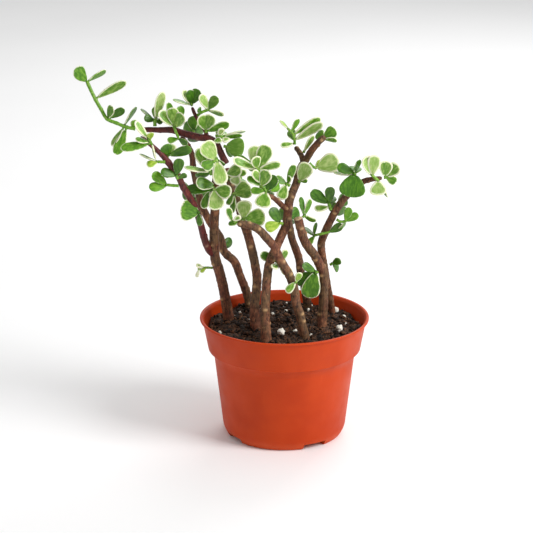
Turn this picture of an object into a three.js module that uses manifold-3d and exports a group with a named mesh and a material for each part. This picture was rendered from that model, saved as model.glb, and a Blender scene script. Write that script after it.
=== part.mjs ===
// Potted elephant bush: a small variegated jade-like shrub in a thin moulded nursery pot.
// Units are millimetres, +Z is up, and the origin is on the pot's axis at its underside.
import * as THREE from "three";
import { mergeVertices } from "three/addons/utils/BufferGeometryUtils.js";
import Module from "manifold-3d";

const wasm = await Module();
wasm.setup();

// ---- driving dimensions of the pot ----
const POT_HEIGHT = 73.5;
const LIP_RADIUS = 51;
const LIP_DEPTH = 2.6;
const COLLAR_RADIUS = 49.4;
const COLLAR_FOOT_RADIUS = 46;
const COLLAR_DEPTH = 19.5;
const BODY_RADIUS = 42.5;
const SHOULDER_DEPTH = 24;
const FOOT_RADIUS = 34.6;
const FOOT_ROUND = 4.6;
const FOOT_FLARE = 0.55;
const WALL = 1.3;
const FLOOR = 1.4;
const POT_SEGMENTS = 40;
const SOIL_SEGMENTS = 20;

// ---- drain pockets moulded into the pot's underside ----
const POCKET_ANGLES = [31, 121, 211, 301].map(THREE.MathUtils.degToRad);
const POCKET_WIDTH = 15;
const POCKET_HEIGHT = 3.6;
const POCKET_INNER_RADIUS = 19;
const DRAIN_RADIUS = 2.4;

// ---- potting mix ----
const SOIL_HEIGHT = 66.2;
const SOIL_MOUND = 2.4;
const SOIL_LUMP = 0.7;
const GAP = 0.3;
const GRAIN_LIFT = 0.5;

// ---- the plant ----
// Places are [across, back, height], measured on upright planes that fall by CROWN_FALL for
// each millimetre of setback and widen by CROWN_WIDEN about the crown's middle.
const CROWN_FALL = 0.32;
const CROWN_WIDEN = 0.00075;
const CROWN_MIDDLE = [-10.8, 104.9];
const STEM_SIDES = 8;
const SHOOT_SIDES = 5;
const RING_SWELL = 1.09;
const TWIG_RADIUS = 0.8;
const PETIOLE_RADIUS = 0.75;
const LEAF_THICKNESS = 1.7;
const LEAF_CURL = 0.07;
const LEAF_FOOT = 0.1;
const STALK_ROOT = 0.6;

// Shares of a leaf's length and of its half width where its outline is drawn: narrow at
// the base and broad and round at the end.
const LEAF_STATIONS = [
  [0.4, 0.78],
  [0.72, 1],
  [0.93, 0.66],
];

const POT_COLOUR = "#c64a24";
const SOIL_COLOUR = "#3a2519";
const PERLITE_COLOUR = "#e8e6df";
const BARK_COLOUR = "#6e4630";
const YOUNG_BARK_COLOUR = "#5c1f22";
const LEAF_COLOUR = "#8fb565";

// Brown stems. Each is a list of routes, the main stem first and then its branches, and a
// route is a list of [across, back, height, radius] from the soil upwards.
const BARK_STEMS = {
  left_front_stem: [
    [
      [-33, 9, 55, 3.4], [-33.5, 9, 70, 3.4], [-34.5, 9, 78, 3.2], [-36, 8, 87, 3.1],
      [-37.5, 7, 95, 3.1], [-39.5, 5, 103, 3.1], [-41.5, 3, 110, 3], [-42, 1, 120, 2.9],
      [-42, -2, 130, 2.8], [-41.5, -5, 141, 2.7], [-41.5, -7, 152, 2.4],
      [-40.5, -9, 162, 2.1], [-40, -10, 168.5, 1.8],
    ],
  ],
  left_back_stem: [
    [
      [-20.5, 31, 62, 2.7], [-21, 30, 79, 2.6], [-22, 30, 85, 2.6], [-24, 30, 92, 2.6],
      [-27, 30, 100, 2.5], [-30, 30, 108, 2.6], [-36, 30, 114, 2.5], [-38.5, 30, 123, 2.5],
      [-44, 30, 132, 2.4], [-49, 30, 142, 2.3], [-52, 30, 155, 2.1], [-54, 29, 165, 1.9],
      [-55, 29, 174.5, 1.8], [-57.5, 28, 180, 1.7], [-61, 27, 185, 1.6],
    ],
  ],
  centre_left_stem: [
    [
      [-15.5, -9, 50, 3.6], [-16, -9, 64, 3.6], [-17.5, -8, 70, 3.3], [-18, -7, 80, 2.9],
      [-17, -5, 88, 2.8], [-16.5, -4, 98, 2.7], [-17.5, -2, 105, 2.7], [-19, -1, 113, 2.7],
      [-22, 1, 125, 2.6], [-25, 3, 134, 2.5], [-28, 7, 145, 2.4], [-32, 11, 156, 2.3],
      [-34.3, 14, 166, 2.2],
    ],
  ],
  centre_stem: [
    [
      [-11, -28, 44, 3.3], [-11, -28, 58, 3.3], [-11.5, -26, 70, 2.9], [-11.5, -24, 80, 2.8],
      [-11, -22, 90, 2.7], [-10.5, -20, 97, 2.7], [-9.5, -18, 105, 2.7], [-8, -16, 110, 2.6],
      [-5, -13, 117, 2.6], [-2, -10, 124, 2.6], [1, -8, 131, 2.6], [2, -4, 140, 2.7],
      [3, 0, 147, 2.6], [5, 3, 152, 2.4], [7, 6, 157, 2.4], [8.5, 9, 164, 2.3],
      [11, 12, 169.5, 2.3],
    ],
    [
      [1.5, -4.6, 140.5, 1.7], [-1.5, -6, 143, 1.7], [-3.5, -8, 145, 1.6], [-7, -10, 148, 1.4],
      [-12, -13, 150, 1.2], [-13.2, -14, 152.5, 1],
    ],
    [
      [11, 12, 168.5, 1.7], [10.2, 13.5, 172.5, 1.7], [8.8, 15.5, 175.5, 1.6],
      [6.2, 18, 179, 1.4],
    ],
    [
      [11, 12, 168.5, 2.1], [13.2, 11, 172.2, 2.1], [16, 9, 177, 2.1], [20, 7, 182, 1.9],
      [23.5, 6, 185.3, 1.8],
    ],
  ],
  leaning_front_stem: [
    [
      [13, -25, 46, 3], [12.5, -24, 60, 2.9], [11, -24, 66, 2.7], [9.5, -23, 74, 2.7],
      [7, -23, 82, 2.7], [6, -22, 90, 2.7], [4, -22, 97, 2.6], [1, -22, 103, 2.6],
      [-3, -22, 110, 2.6], [-6, -22, 117, 2.5], [-10, -22, 122, 2.5],
      [-16, -22, 128.5, 2.4], [-22, -23, 131, 2.2], [-28, -24, 132, 2],
    ],
  ],
  right_stem: [
    [
      [22.5, -5, 52, 3.2], [22.5, -5, 65, 3.1], [23, -4, 75, 3.1], [23.5, -4, 82, 2.9],
      [23.5, -4, 91, 2.8], [23.5, -4, 100, 2.8], [21, -5, 106, 2.8], [18, -7, 112, 2.7],
      [15, -9, 116, 2.7], [12, -11, 121, 2.7], [9.5, -13, 129, 2.6], [8, -14, 135, 2.6],
    ],
  ],
  right_back_stem: [
    [
      [29.5, 24, 60, 2.2], [29, 22, 74, 2.1], [27.5, 20, 84, 2.1], [25.5, 17, 95, 2.2],
      [24, 13, 104, 2.3], [22.5, 9, 112, 2.4], [22, 6, 120, 2.4], [24, 3, 126, 2.4],
      [27, 0, 133, 2.3], [30, -3, 139, 2.3], [33, -6, 144, 2.2], [36, -8, 148, 2.1],
      [42, -11, 154, 1.9], [47, -13, 158, 1.7], [52, -14, 159.3, 1.5],
      [57.5, -15, 160, 1.2],
    ],
  ],
  centre_back_stem: [
    [
      [14.5, 30, 66, 2.7], [14, 28, 80, 2.6], [12, 27, 92, 2.5], [9.5, 26, 103, 2.5],
      [9, 26, 108, 2.4], [7, 26, 115, 2.4], [4.5, 26, 122, 2.3], [3, 27, 130, 2.2],
      [2, 28, 138, 2.1], [3.5, 29, 146, 2], [5.5, 30, 152, 1.9],
    ],
  ],
};

// Dark red young branches, in the same form.
const YOUNG_STEMS = {
  low_left_branch: [
    [
      [-42.2, 2.4, 112, 2], [-45.1, 0, 115, 2.1], [-47.5, -3, 121, 2.2], [-50, -7, 131, 2.1],
      [-53, -11, 141, 2.1], [-57, -14, 149, 2.1], [-60, -16, 154, 2], [-63.5, -18, 162, 1.9],
      [-66.5, -19, 166, 1.8], [-68.8, -20, 169.5, 2], [-72, -21, 173.5, 1.6],
      [-76.5, -22, 178, 1.4], [-81, -23, 182, 1.4], [-85, -24, 185, 1.2],
    ],
  ],
  long_left_branch: [
    [
      [-34.6, 14, 168.8, 2.1], [-36, 15, 171.5, 2.1], [-38, 17, 176, 2], [-40, 18, 181, 1.7],
      [-44, 19, 184.2, 1.9], [-50, 20, 184.8, 2.2], [-60, 22, 187.3, 2.2],
      [-66, 23, 189.2, 2], [-74, 24, 189.3, 1.7], [-80, 24, 189.5, 1.6],
      [-86, 24, 189.5, 1.5],
    ],
    [
      [-45.5, 19.8, 184.5, 1.3], [-47, 21, 189, 1.2], [-52.5, 24, 198, 1.1],
      [-54.5, 25, 203, 1],
    ],
  ],
};

// Leafy shoots. "stem" is the green shoot's [across, back, height] points with one radius.
// "twigs" are side shoots in the same form. Each leaf is [base across, back, height, tip
// across, back, height, width, turn], where turn is the angle in degrees by which its face
// turns away from the front. "back" is the shoot's setback, added to all of its places.
const SHOOTS = {
  far_tip_shoot: {
    radius: 1.1,
    back: 25,
    stem: [
      [-88, -1, 190], [-93, -1, 191], [-99, 0, 193.5], [-104.5, 1, 196], [-108, 2, 202],
      [-111, 3, 207.5], [-115, 5, 216.5], [-116, 6, 219],
    ],
    leaves: [
      [-116, 6, 218.5, -123, 3, 226.5, 8.5, 20], [-115.5, 6, 218.5, -105, 9, 226, 6, 72],
      [-110.5, 3, 208.5, -93.5, 1, 220, 7.5, 52], [-104, 1, 196.5, -101, -3, 204, 6, -30],
      [-103, 2, 196.5, -94.5, 3, 202.5, 5.5, 30], [-94.5, -1, 192, -88, 0, 203.8, 5.5, 74],
      [-95, -1, 190.5, -102, -2, 179.3, 6, 48], [-93.5, -2, 190, -99.5, -5, 174.3, 7, 10],
      [-89.5, 0, 190, -88.3, -3, 196, 4.5, 20],
    ],
  },
  left_branch_knot_leaves: {
    radius: 1.1,
    back: 21,
    stem: [[-76.5, 3, 191.8], [-76.5, 3, 196]],
    leaves: [
      [-76.5, 3, 195, -83, 1, 196.8, 4.8, 20], [-77, 4, 195.5, -85, 5, 201.8, 4.5, 72],
      [-76, 3, 195.5, -72.3, 1, 212.8, 6.5, 25], [-76, 4, 195, -71.5, 8, 195, 5, 40],
      [-75.5, 4, 195.5, -76, 10, 204, 6, 150],
    ],
  },
  low_branch_end_leaves: {
    radius: 0.9,
    back: -26,
    stem: [[-80.5, 0.5, 184.5], [-78.8, 0.3, 181]],
    leaves: [
      [-79.5, 0, 181, -97, -2, 178.2, 6, 12], [-78.5, 0, 181, -76, -1, 171.5, 4.5, 76],
      [-79, 0, 184, -79.5, -2, 188, 4.5, 10], [-80.5, 0.5, 184, -88.5, 0, 194.5, 5, 20],
      [-80, 0.5, 182, -88.5, -2, 183.5, 4.5, 40],
    ],
  },
  low_branch_knot_leaves: {
    radius: 0.9,
    back: -22,
    stem: [[-70.8, -0.5, 169.8], [-75.5, -1, 170]],
    leaves: [
      [-75, -1, 170, -81.8, -3, 167.8, 4.6, 20], [-75.5, -1, 170.3, -86.3, 0, 173.8, 3.6, 80],
    ],
  },
  low_branch_fan: {
    radius: 0.9,
    back: -22,
    stem: [[-69.8, 4.3, 171.6], [-69, 3, 174.5]],
    leaves: [
      [-69, 3, 174, -70.5, 0, 180.8, 7.5, 10], [-69, 3.5, 174, -65, 6, 180.5, 5.5, -20],
      [-68.5, 3, 173.8, -55, 1, 178.5, 6.2, 15], [-69, 4, 174, -73, 12, 176, 6.5, 150],
    ],
  },
  low_branch_middle_leaves: {
    radius: 0.9,
    back: -20,
    stem: [[-63.3, -0.6, 159.5], [-64.3, -0.9, 162]],
    leaves: [
      [-64.3, -0.9, 161.5, -73.6, -2, 164, 6.4, 20], [-64, -1, 161.5, -62.4, -3, 172.5, 6.4, 12],
      [-63.5, -0.8, 160, -58, -1, 162.5, 4, 45],
    ],
  },
  low_branch_pair: {
    radius: 0.9,
    back: -18,
    stem: [[-62.8, 0, 155.2], [-66, 0, 155.4], [-70, 0, 155.8]],
    leaves: [
      [-70, 0, 156, -78.5, -2, 163.2, 6.2, 10], [-70, 0, 155.3, -80.6, -2, 153.8, 6, 8],
    ],
  },
  branch_rosette: {
    radius: 1.1,
    back: 18,
    stem: [[-65, 1.8, 190.8], [-65, 1.2, 193]],
    leaves: [
      [-65.3, 1.2, 191.5, -74, -1, 200.8, 7, 25], [-65, 0.8, 192, -66.5, -3, 203.3, 7.5, 5],
      [-64.5, 1, 191, -59.3, -4, 199.5, 8, -15], [-64.8, 2, 192.5, -69.5, 4, 205.8, 6.5, 45],
      [-64.5, 2, 192.5, -60.5, 6, 203.8, 6.5, 40], [-64.5, 2.5, 192, -64, 12, 197, 7.5, 165],
      [-62.8, 1.1, 184, -69.3, -0.5, 182.4, 4.5, 30], [-62.6, 1.2, 184, -57, -0.5, 180.5, 5, 35],
    ],
    twigs: [[[-65, 1.4, 191.4], [-64.4, 0.6, 188.6], [-63.2, 0.6, 185.8], [-62.7, 1, 183.8]]],
  },
  left_stem_wilted_leaf: {
    radius: 0.7,
    back: 5,
    stem: [[-43.2, 0, 104], [-46, -0.6, 104.2], [-49, -1, 104], [-51.6, -1.4, 103.4]],
    leaves: [
      [-48.4, -1, 104.2, -53.4, -2, 105.6, 3.2, 30], [-51.4, -1.4, 103.2, -52.6, -2.4, 98, 2.6, 30],
      [-47.4, -1, 103.8, -50.4, -2.4, 101, 2.6, 20],
    ],
  },
  branch_back_leaves: {
    radius: 1,
    back: 14,
    stem: [[-54, 9.6, 187.5], [-53.5, 11, 189]],
    leaves: [
      [-53.5, 11, 188.5, -60, 19, 192, 8, 160], [-53.5, 11, 188.8, -47, 20, 190, 8, 200],
      [-53.5, 11, 189, -54.5, 17, 198, 7, 170], [-53.5, 11, 188, -54, 18, 181, 7.5, 180],
    ],
  },
  upright_twig_shoot: {
    radius: 0.9,
    back: 17,
    stem: [[-54.7, 8, 204.5], [-54.7, 8, 206]],
    leaves: [
      [-54.7, 8, 205, -56, 6, 213.6, 6.5, 15], [-54.7, 8, 205, -50.3, 7, 213.8, 6.8, -10],
      [-55, 8.5, 204.8, -60.5, 7, 213, 5.5, 40], [-54.8, 8, 204.6, -66, 6, 207.2, 5, 62],
      [-54.7, 9, 205, -54, 16, 209, 6.5, 165],
    ],
  },
  upright_twig_side_leaves: {
    radius: 0.9,
    back: 16,
    stem: [[-51.2, 5.6, 198.3], [-49, 5, 200], [-45, 5, 201.6]],
    leaves: [
      [-45, 5, 201.8, -49.7, 3, 211, 5.8, 15], [-45, 5, 201.8, -39.5, 3, 209.8, 6, -8],
      [-45, 4.8, 201, -35.5, 4, 199.3, 6, 66], [-49.5, 5, 199.8, -51, 2, 202.5, 4, 40],
      [-45.5, 6, 201.6, -44, 13, 205, 6.5, 160],
    ],
  },
  branch_fan: {
    radius: 1,
    back: 12.5,
    stem: [[-46.3, 4.8, 188], [-46.5, 4.2, 190.5]],
    leaves: [
      [-46.7, 4.2, 189.2, -49.3, 1, 198.8, 7.5, 12], [-46.3, 4.2, 189.2, -43.3, 1, 199, 8, -10],
      [-45.8, 4.4, 188.5, -32.3, 2, 193.5, 5.8, 22],
    ],
  },
  branch_bend_leaves: {
    radius: 1,
    back: 11.5,
    stem: [[-40.6, 5.8, 185.6], [-38.5, 5, 185.8], [-36.3, 4.5, 184.5]],
    leaves: [
      [-39, 4.6, 185.3, -39.5, 2, 181, 5.4, 25], [-38.8, 5, 185.5, -37, 3, 191, 4.5, 20],
      [-36.5, 4.5, 184.8, -33.5, 1, 182, 5, -20], [-36.4, 4.6, 185.5, -23.5, 5, 190.2, 5, 78],
      [-36.3, 5, 184.8, -25, 4, 186.8, 5, 50], [-38.5, 6, 185.8, -37, 14, 189, 7, 160],
    ],
  },
  branch_round_leaf: {
    radius: 0.9,
    back: 8.5,
    stem: [[-35.8, 6.4, 179.4], [-34.3, 5.5, 179.2]],
    leaves: [
      [-35, 5.5, 179.3, -23.8, 1, 178, 12, 4], [-35, 6, 179, -30, 13, 175, 7, 160],
    ],
  },
  front_left_middle_leaves: {
    radius: 1.2,
    back: -13,
    stem: [[-42, 2.8, 152.3], [-42.2, 1.2, 153.8]],
    leaves: [
      [-41.4, 1.2, 155.2, -53, -2, 157, 8, 14], [-42.4, 1.6, 153, -58.6, 1, 152.6, 6.5, 20],
      [-41.8, 0.8, 153.4, -31.2, -5, 150.2, 8.6, 5], [-42, 0.6, 153, -39.6, -5, 140.3, 9.8, 6],
      [-44.6, 1.2, 152.4, -48.4, 0, 141.2, 5.8, 24],
    ],
  },
  big_left_round_leaf: {
    radius: 0.9,
    back: -12,
    stem: [[-51.6, 0, 138.2], [-51, -1.2, 139.2]],
    leaves: [
      [-51, -1, 138.6, -62.3, -4, 141, 12.8, 4], [-51.3, -0.8, 138.4, -50, -2, 130.5, 5, 45],
    ],
  },
  left_back_stem_leaves: {
    radius: 1,
    back: 12,
    stem: [[-51, 19.8, 146], [-52.5, 21, 147.5]],
    leaves: [
      [-52.5, 21, 147, -61, 26, 151, 8.5, 150], [-52.3, 21.4, 147.5, -47, 29, 154, 8, 190],
      [-52.5, 21, 147, -56, 28, 140, 7.5, 170], [-52.5, 20.6, 147.5, -60, 20, 157, 7, 90],
    ],
  },
  left_back_stem_low_leaves: {
    radius: 0.9,
    back: 9,
    stem: [[-37.5, 23.2, 115.5], [-38, 24.6, 116.5]],
    leaves: [
      [-38, 24.5, 116.3, -45.5, 28, 121, 6.5, 140], [-38, 24.6, 116.3, -31, 31, 121.5, 6.5, 200],
    ],
  },
  front_left_top_leaves: {
    radius: 1.1,
    back: -17,
    stem: [
      [-43.4, 4, 162.3], [-44, 3.2, 164.5], [-42.5, 3.8, 169.5], [-40.2, 4.8, 172],
    ],
    leaves: [
      [-40.6, 4.6, 171.2, -48.6, -1, 182.2, 10.4, 6], [-40.2, 4.4, 171, -37.3, -3, 155.3, 9, 4],
      [-41.6, 3.8, 170, -49, -1, 165.8, 7.4, 10], [-40.5, 6, 171.5, -47, 13, 172, 7, 150],
      [-40, 6, 171.5, -38.5, 15, 166, 7.5, 190], [-44, 3, 164, -59.8, 1, 165.8, 5.5, 50],
      [-46, 4, 165.2, -52.2, 5, 178, 7.2, 15], [-44.2, 4.4, 164, -52, 9, 159.5, 7, 130],
    ],
  },
  centre_rosette: {
    radius: 1.2,
    back: -9,
    stem: [[-13.7, -5.2, 154], [-14.6, -5.6, 160], [-16, -6, 166]],
    twigs: [
      [[-13.7, -5.4, 154.6], [-12, -7.6, 153.2], [-11, -8, 152]],
      [[-13.7, -5, 154.6], [-11.5, -3, 154], [-9.5, -2, 152.6]],
      [[-15.6, -5.8, 164.5], [-20, -3, 169], [-25, 0, 173], [-28, 2, 174.2]],
    ],
    leaves: [
      [-16.4, -6, 165.6, -31, -9, 171.3, 6, 14], [-16.4, -5.6, 165.8, -18, -2, 180, 8.5, -8],
      [-15.6, -6.2, 165.8, -10, -8, 180.6, 9.5, 10], [-15.6, -6.4, 165.5, -2, -9, 169, 5.4, 20],
      [-16.3, -6.8, 165.8, -18, -11, 173.6, 6.6, 20], [-14.4, -6, 157, -19, -9, 164.8, 5.2, 14],
      [-13.8, -6.4, 155, -10, -10, 165, 8, -6], [-13.7, -5.2, 155, -22.5, -6, 160.3, 4.8, 35],
      [-15.8, -5.2, 165.8, -14, 3, 172, 8, 175], [-16, -5.4, 165.5, -22, 4, 169, 7.5, 160],
      [-10.8, -7.8, 152, -5.2, -8, 161.5, 7.5, -18], [-11.3, -8, 151.8, -20.3, -8, 152, 5, 20],
      [-11.2, -8, 151.6, -13.3, -11, 141.6, 10, 4], [-9.5, -2.2, 152.4, -3, 5, 157, 8, 200],
      [-9.7, -2, 152.6, -14, 7, 155.5, 8, 165], [-9.7, -2.2, 152, -10, 8, 148, 7.5, 180],
    ],
  },
  right_branch_pale_leaves: {
    radius: 0.9,
    back: -13,
    stem: [[55.4, -3.6, 158.4], [53.4, -4, 160.2], [51.4, -3.6, 162.2]],
    leaves: [
      [51.2, -3.4, 161.6, 47.6, -6, 173.8, 7.6, 10], [51.8, -3.8, 161.6, 53.8, -7, 174.4, 8, -4],
      [51.6, -3, 162, 51, 5, 170, 7.5, 170], [55.3, -3.6, 158.8, 55.8, -6, 149.2, 10, 4],
      [55.6, -3, 158.4, 61.6, -1, 148.4, 4.4, 70],
    ],
  },
  right_stem_low_leaves: {
    radius: 0.8,
    back: -3.5,
    stem: [[27, 4, 126.6], [22, 3.4, 125.4], [18.6, 5, 124.6], [17.6, 7, 124.4]],
    leaves: [
      [26.6, 4, 126.4, 34.6, 3, 131.2, 5.4, 16], [17.6, 7, 124.4, 18, 6, 132.6, 3.6, 45],
      [17.8, 6.6, 124, 14.4, 6, 118.6, 4.4, 30], [17.6, 7, 124.4, 11, 12, 129, 5.5, 60],
    ],
  },
  crown_upper_leaves: {
    radius: 1.1,
    back: 4,
    stem: [[-32.5, 5.2, 159.6], [-32.2, 3.4, 161]],
    leaves: [
      [-34.6, 3.4, 162.4, -25.2, -2, 165.8, 8, -6], [-32.8, 3, 158.6, -25.2, -3, 158.8, 7, 8],
      [-32.3, 4, 161, -23, 5, 165, 6, 50],
    ],
  },
  crown_back_leaves: {
    radius: 1.1,
    back: 4,
    stem: [[-31.8, 10.8, 158], [-31.5, 12.4, 159]],
    leaves: [
      [-31.5, 12.2, 159, -25, 20, 163, 8.5, 200], [-31.6, 12.2, 159, -36, 21, 162, 8.5, 160],
      [-31.5, 12.2, 158.6, -28, 22, 154, 8, 190], [-31.4, 11.8, 159, -22, 15, 157, 7.5, 130],
    ],
  },
  crown_middle_leaves: {
    radius: 1.2,
    back: 2.5,
    stem: [[-29.6, 2.8, 149.4], [-30.2, 0.6, 150.4]],
    leaves: [
      [-30, 0.4, 150.3, -19.6, -6, 154.3, 11, 4], [-30.4, 0.8, 150, -30.4, -4, 138.3, 5.5, 44],
      [-30.6, 1.2, 150.2, -33.6, -3, 143, 4.6, 40],
    ],
  },
  crown_low_leaves: {
    radius: 1.2,
    back: 0,
    stem: [[-24.6, -0.2, 134], [-24, -2.6, 135.2]],
    leaves: [
      [-24.2, -2.8, 135, -24.4, -8, 146.8, 9.4, 4], [-23.8, -3, 135.2, -10.8, -9, 135.6, 11, 4],
      [-24.3, -2.4, 134.6, -33.5, -4, 130.8, 5, 40],
    ],
  },
  leaning_stem_tip_leaves: {
    radius: 1,
    back: -7,
    stem: [[-29.2, -17.6, 133], [-30.4, -18, 133.8]],
    leaves: [
      [-31.4, -18, 132.8, -34, -18, 142, 4.2, 14], [-30.6, -18, 133.4, -26.4, -20, 136.8, 3.6, 20],
    ],
  },
  centre_stem_upper_leaves: {
    radius: 1,
    back: 5,
    stem: [[2.6, -5.2, 155.6], [1.4, -6.6, 156.6]],
    leaves: [
      [1.6, -6.4, 156.6, 5.6, -8, 168.5, 4.8, 12], [1, -6.4, 156.4, -6, -6, 160.2, 5.4, 20],
      [1, -6.8, 156.4, -2.4, -10, 146.6, 7, 4], [2.2, -6.4, 156.2, 3.4, -8, 161.5, 3.4, -30],
    ],
  },
  centre_pale_leaf: {
    radius: 1,
    back: 6.5,
    stem: [[8.8, -2.6, 157.8], [9, -4, 158.4]],
    leaves: [
      [8.6, -3.8, 158, 14.4, -7, 169.6, 9.6, 4], [9.2, -3.6, 158, 13.6, -3, 158.6, 4, 60],
    ],
  },
  centre_stem_side_leaves: {
    radius: 0.9,
    back: 0,
    stem: [[-1.2, -10.2, 131.6], [-3, -11, 132.4]],
    leaves: [
      [-2.6, -10.8, 132.2, -8.3, -10, 141.6, 7, 18], [-2.6, -11.4, 132, -11.5, -14, 128.4, 7, 10],
    ],
  },
  fork_top_shoot: {
    radius: 0.85,
    back: 16,
    stem: [[5.9, 2, 180.6], [5.6, 2, 184], [4, 2, 188], [1.6, 2, 190.2]],
    leaves: [
      [5.6, 2, 181, -2.7, 0, 179.6, 4.2, 22], [5, 2, 186.5, 21, 1, 197.2, 6.4, 44],
      [5.7, 1.8, 183, 22.3, -2, 194.3, 6.4, 30], [4, 2, 188.5, 8, 2, 196.4, 4.4, 40],
      [2, 2, 190, -3, 5, 195, 4.4, 60], [5.6, 2.4, 183, 3, 10, 190, 6, 165],
    ],
  },
  fork_crotch_leaf: {
    radius: 0.8,
    back: 13,
    stem: [[11.2, -0.4, 175.6], [11.6, -0.4, 177]],
    leaves: [
      [11.3, -0.4, 176, 16.6, -3, 186.6, 4, 30],
    ],
  },
  fork_right_leaves: {
    radius: 0.9,
    back: 5.3,
    stem: [[22.5, 4.6, 183.4], [23.2, 5.6, 184.4]],
    leaves: [
      [23, 5.4, 184, 30, 6, 189.8, 8, -10], [23, 5.2, 183.6, 31, 3, 183.8, 5.5, 66],
      [22.8, 5.6, 184, 19, 13, 188, 7, 165],
    ],
  },
  round_pale_leaf: {
    radius: 0.8,
    back: 9.5,
    stem: [[14.6, 0.8, 169.2], [17, 0, 166.8], [18.6, 0, 166]],
    leaves: [
      [18.4, 0, 166.2, 32.3, -3, 171.3, 12, 4], [18.2, 0, 166.4, 20.6, 0, 171.5, 3, 40],
    ],
  },
  right_big_leaf: {
    radius: 1,
    back: -13,
    stem: [[42.4, -0.4, 156.6], [41.8, -1.8, 160], [41.4, -2, 163.4]],
    leaves: [
      [41.4, -2.2, 162.6, 39.6, -8, 148, 15.5, 4], [41.4, -2, 163, 43.6, -2, 171.6, 5.6, 50],
      [41.2, -1.4, 163, 31, 0, 166.6, 6.6, 18], [41.4, -1.2, 162, 28.8, 2, 162.4, 4.6, 62],
      [41.6, -1.2, 162.8, 42, 8, 168, 8, 175],
    ],
  },
  right_tip_leaves: {
    radius: 0.9,
    back: -14,
    stem: [[58.9, -1, 160.2], [60.6, -1, 160.6]],
    leaves: [
      [59.4, -1.2, 160.8, 60.2, -5, 170.8, 8, 6], [60.4, -1, 160.8, 67.6, -3, 168.4, 8, -6],
      [60, -1, 160.4, 66.4, -1, 157.6, 5.6, 14], [60.2, -0.6, 160.6, 64, 7, 165, 7, 190],
    ],
  },
  right_stem_inner_leaves: {
    radius: 0.9,
    back: -8,
    stem: [[27.6, 3.2, 140.6], [26.9, 2.6, 143], [26.4, 2.4, 145]],
    leaves: [
      [26, 2.4, 144.4, 15, 0, 151.8, 7.2, 12], [26.6, 2.2, 144.6, 27, -1, 155, 6.2, 8],
      [26.8, 2.6, 142, 17.6, 1, 140.6, 4.8, 24], [26.8, 3, 143.4, 27, 12, 150, 8, 175],
    ],
  },
  right_stem_outer_leaves: {
    radius: 0.8,
    back: -8.5,
    stem: [[31, 4.6, 134.3], [33.5, 4.4, 133], [36.4, 4.2, 133.4]],
    leaves: [
      [36.2, 4.2, 133.4, 38.8, 2, 142, 5, 8], [36.2, 4.2, 133.2, 44, 3, 137.8, 5, 10],
      [36, 4.4, 133, 34, 10, 128, 5.5, 120],
    ],
  },
  right_stem_back_leaves: {
    radius: 0.9,
    back: -9.5,
    stem: [[31.6, 7.8, 142.4], [31.8, 9.2, 143.6]],
    leaves: [
      [31.8, 9, 143.4, 37, 16, 148, 8, 195], [31.7, 9, 143.4, 25, 16, 142, 8, 165],
      [31.8, 9, 143.2, 35, 16, 137, 7.5, 180],
    ],
  },
  right_stem_bud_leaves: {
    radius: 0.8,
    back: -2,
    stem: [[27.4, 14, 106], [29, 13.6, 107]],
    leaves: [
      [28.6, 13.6, 106.8, 33.8, 12, 109.2, 5, 20], [28.8, 14, 106.8, 33, 19, 103, 5.5, 140],
    ],
  },
  cut_stem_leaves: {
    radius: 0.8,
    back: -3,
    stem: [[10.8, -9.4, 135.6], [12.2, -8.8, 137.6]],
    leaves: [
      [12, -8.8, 137, 15.2, -10, 147.6, 4.2, 30], [11.6, -9, 137, 8.9, -12, 148.6, 4, 40],
      [11.6, -9.2, 136.6, 18.5, -6, 133.5, 4.6, 50],
    ],
  },
  centre_back_stem_leaves: {
    radius: 0.9,
    back: 14,
    stem: [[2.4, 16.6, 134], [2.4, 18, 135.6]],
    leaves: [
      [2.4, 18, 135.4, 9, 24, 140, 8, 200], [2.4, 18, 135.4, -4, 25, 139, 8, 160],
      [2.4, 18, 135.4, 3, 25, 130, 7.5, 180],
    ],
  },
  leaning_stem_low_leaves: {
    radius: 0.8,
    back: 0,
    stem: [[6.6, -25.8, 94.5], [6.9, -26.4, 95.4]],
    leaves: [
      [6.6, -26.2, 95, 1.2, -28, 88.4, 5.2, 20], [7, -26.2, 95.2, 9.4, -28, 101.4, 4.6, 20],
    ],
  },
  front_dark_leaf: {
    radius: 0.8,
    back: 0,
    stem: [[19.9, -6.4, 101], [18.4, -7, 102]],
    leaves: [
      [18.6, -7, 101.6, 14.8, -9, 85, 11.2, 6], [18.6, -7, 102, 10.3, -9, 106, 5.4, 16],
      [18, -5.4, 101.4, 7.4, -3, 94.4, 7.6, 20],
    ],
  },
  centre_stem_low_leaves: {
    radius: 0.8,
    back: 0,
    stem: [[-4.3, -17.2, 106.6], [-3, -17.4, 107.4]],
    leaves: [
      [-3.4, -17.4, 107, -7.2, -25, 103.4, 5, 20],
      [-3.2, -16.2, 107, 3.4, -12, 100.6, 6.4, 24], [-3.2, -17.4, 107.2, 1.5, -15, 115.5, 5, 24],
      [-4.6, -12.4, 108, -14.6, -11, 112.6, 6, 16],
    ],
  },
};

// Large perlite grains that lie on the mix: [across, back, size].
const PERLITE_GRAINS = [
  [-2, -24, 4.6], [33, -13, 4.6],
];

/** Place on the plant, taken on the falling and widening planes of the crown. */
function place([across, back, height]) {
  const widen = 1 + CROWN_WIDEN * back;
  const x = CROWN_MIDDLE[0] + (across - CROWN_MIDDLE[0]) * widen;
  const z = CROWN_MIDDLE[1] + (height - CROWN_MIDDLE[1]) * widen - CROWN_FALL * back;
  return new THREE.Vector3(x, back, z);
}

/** Closed manifold solid made from a closed geometry. */
function solid(geometry) {
  const bare = geometry.clone();
  bare.deleteAttribute("normal");
  bare.deleteAttribute("uv");
  const merged = mergeVertices(bare, 1e-4);
  return new wasm.Manifold(new wasm.Mesh({
    numProp: 3,
    vertProperties: new Float32Array(merged.attributes.position.array),
    triVerts: new Uint32Array(merged.index.array),
  }));
}

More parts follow.
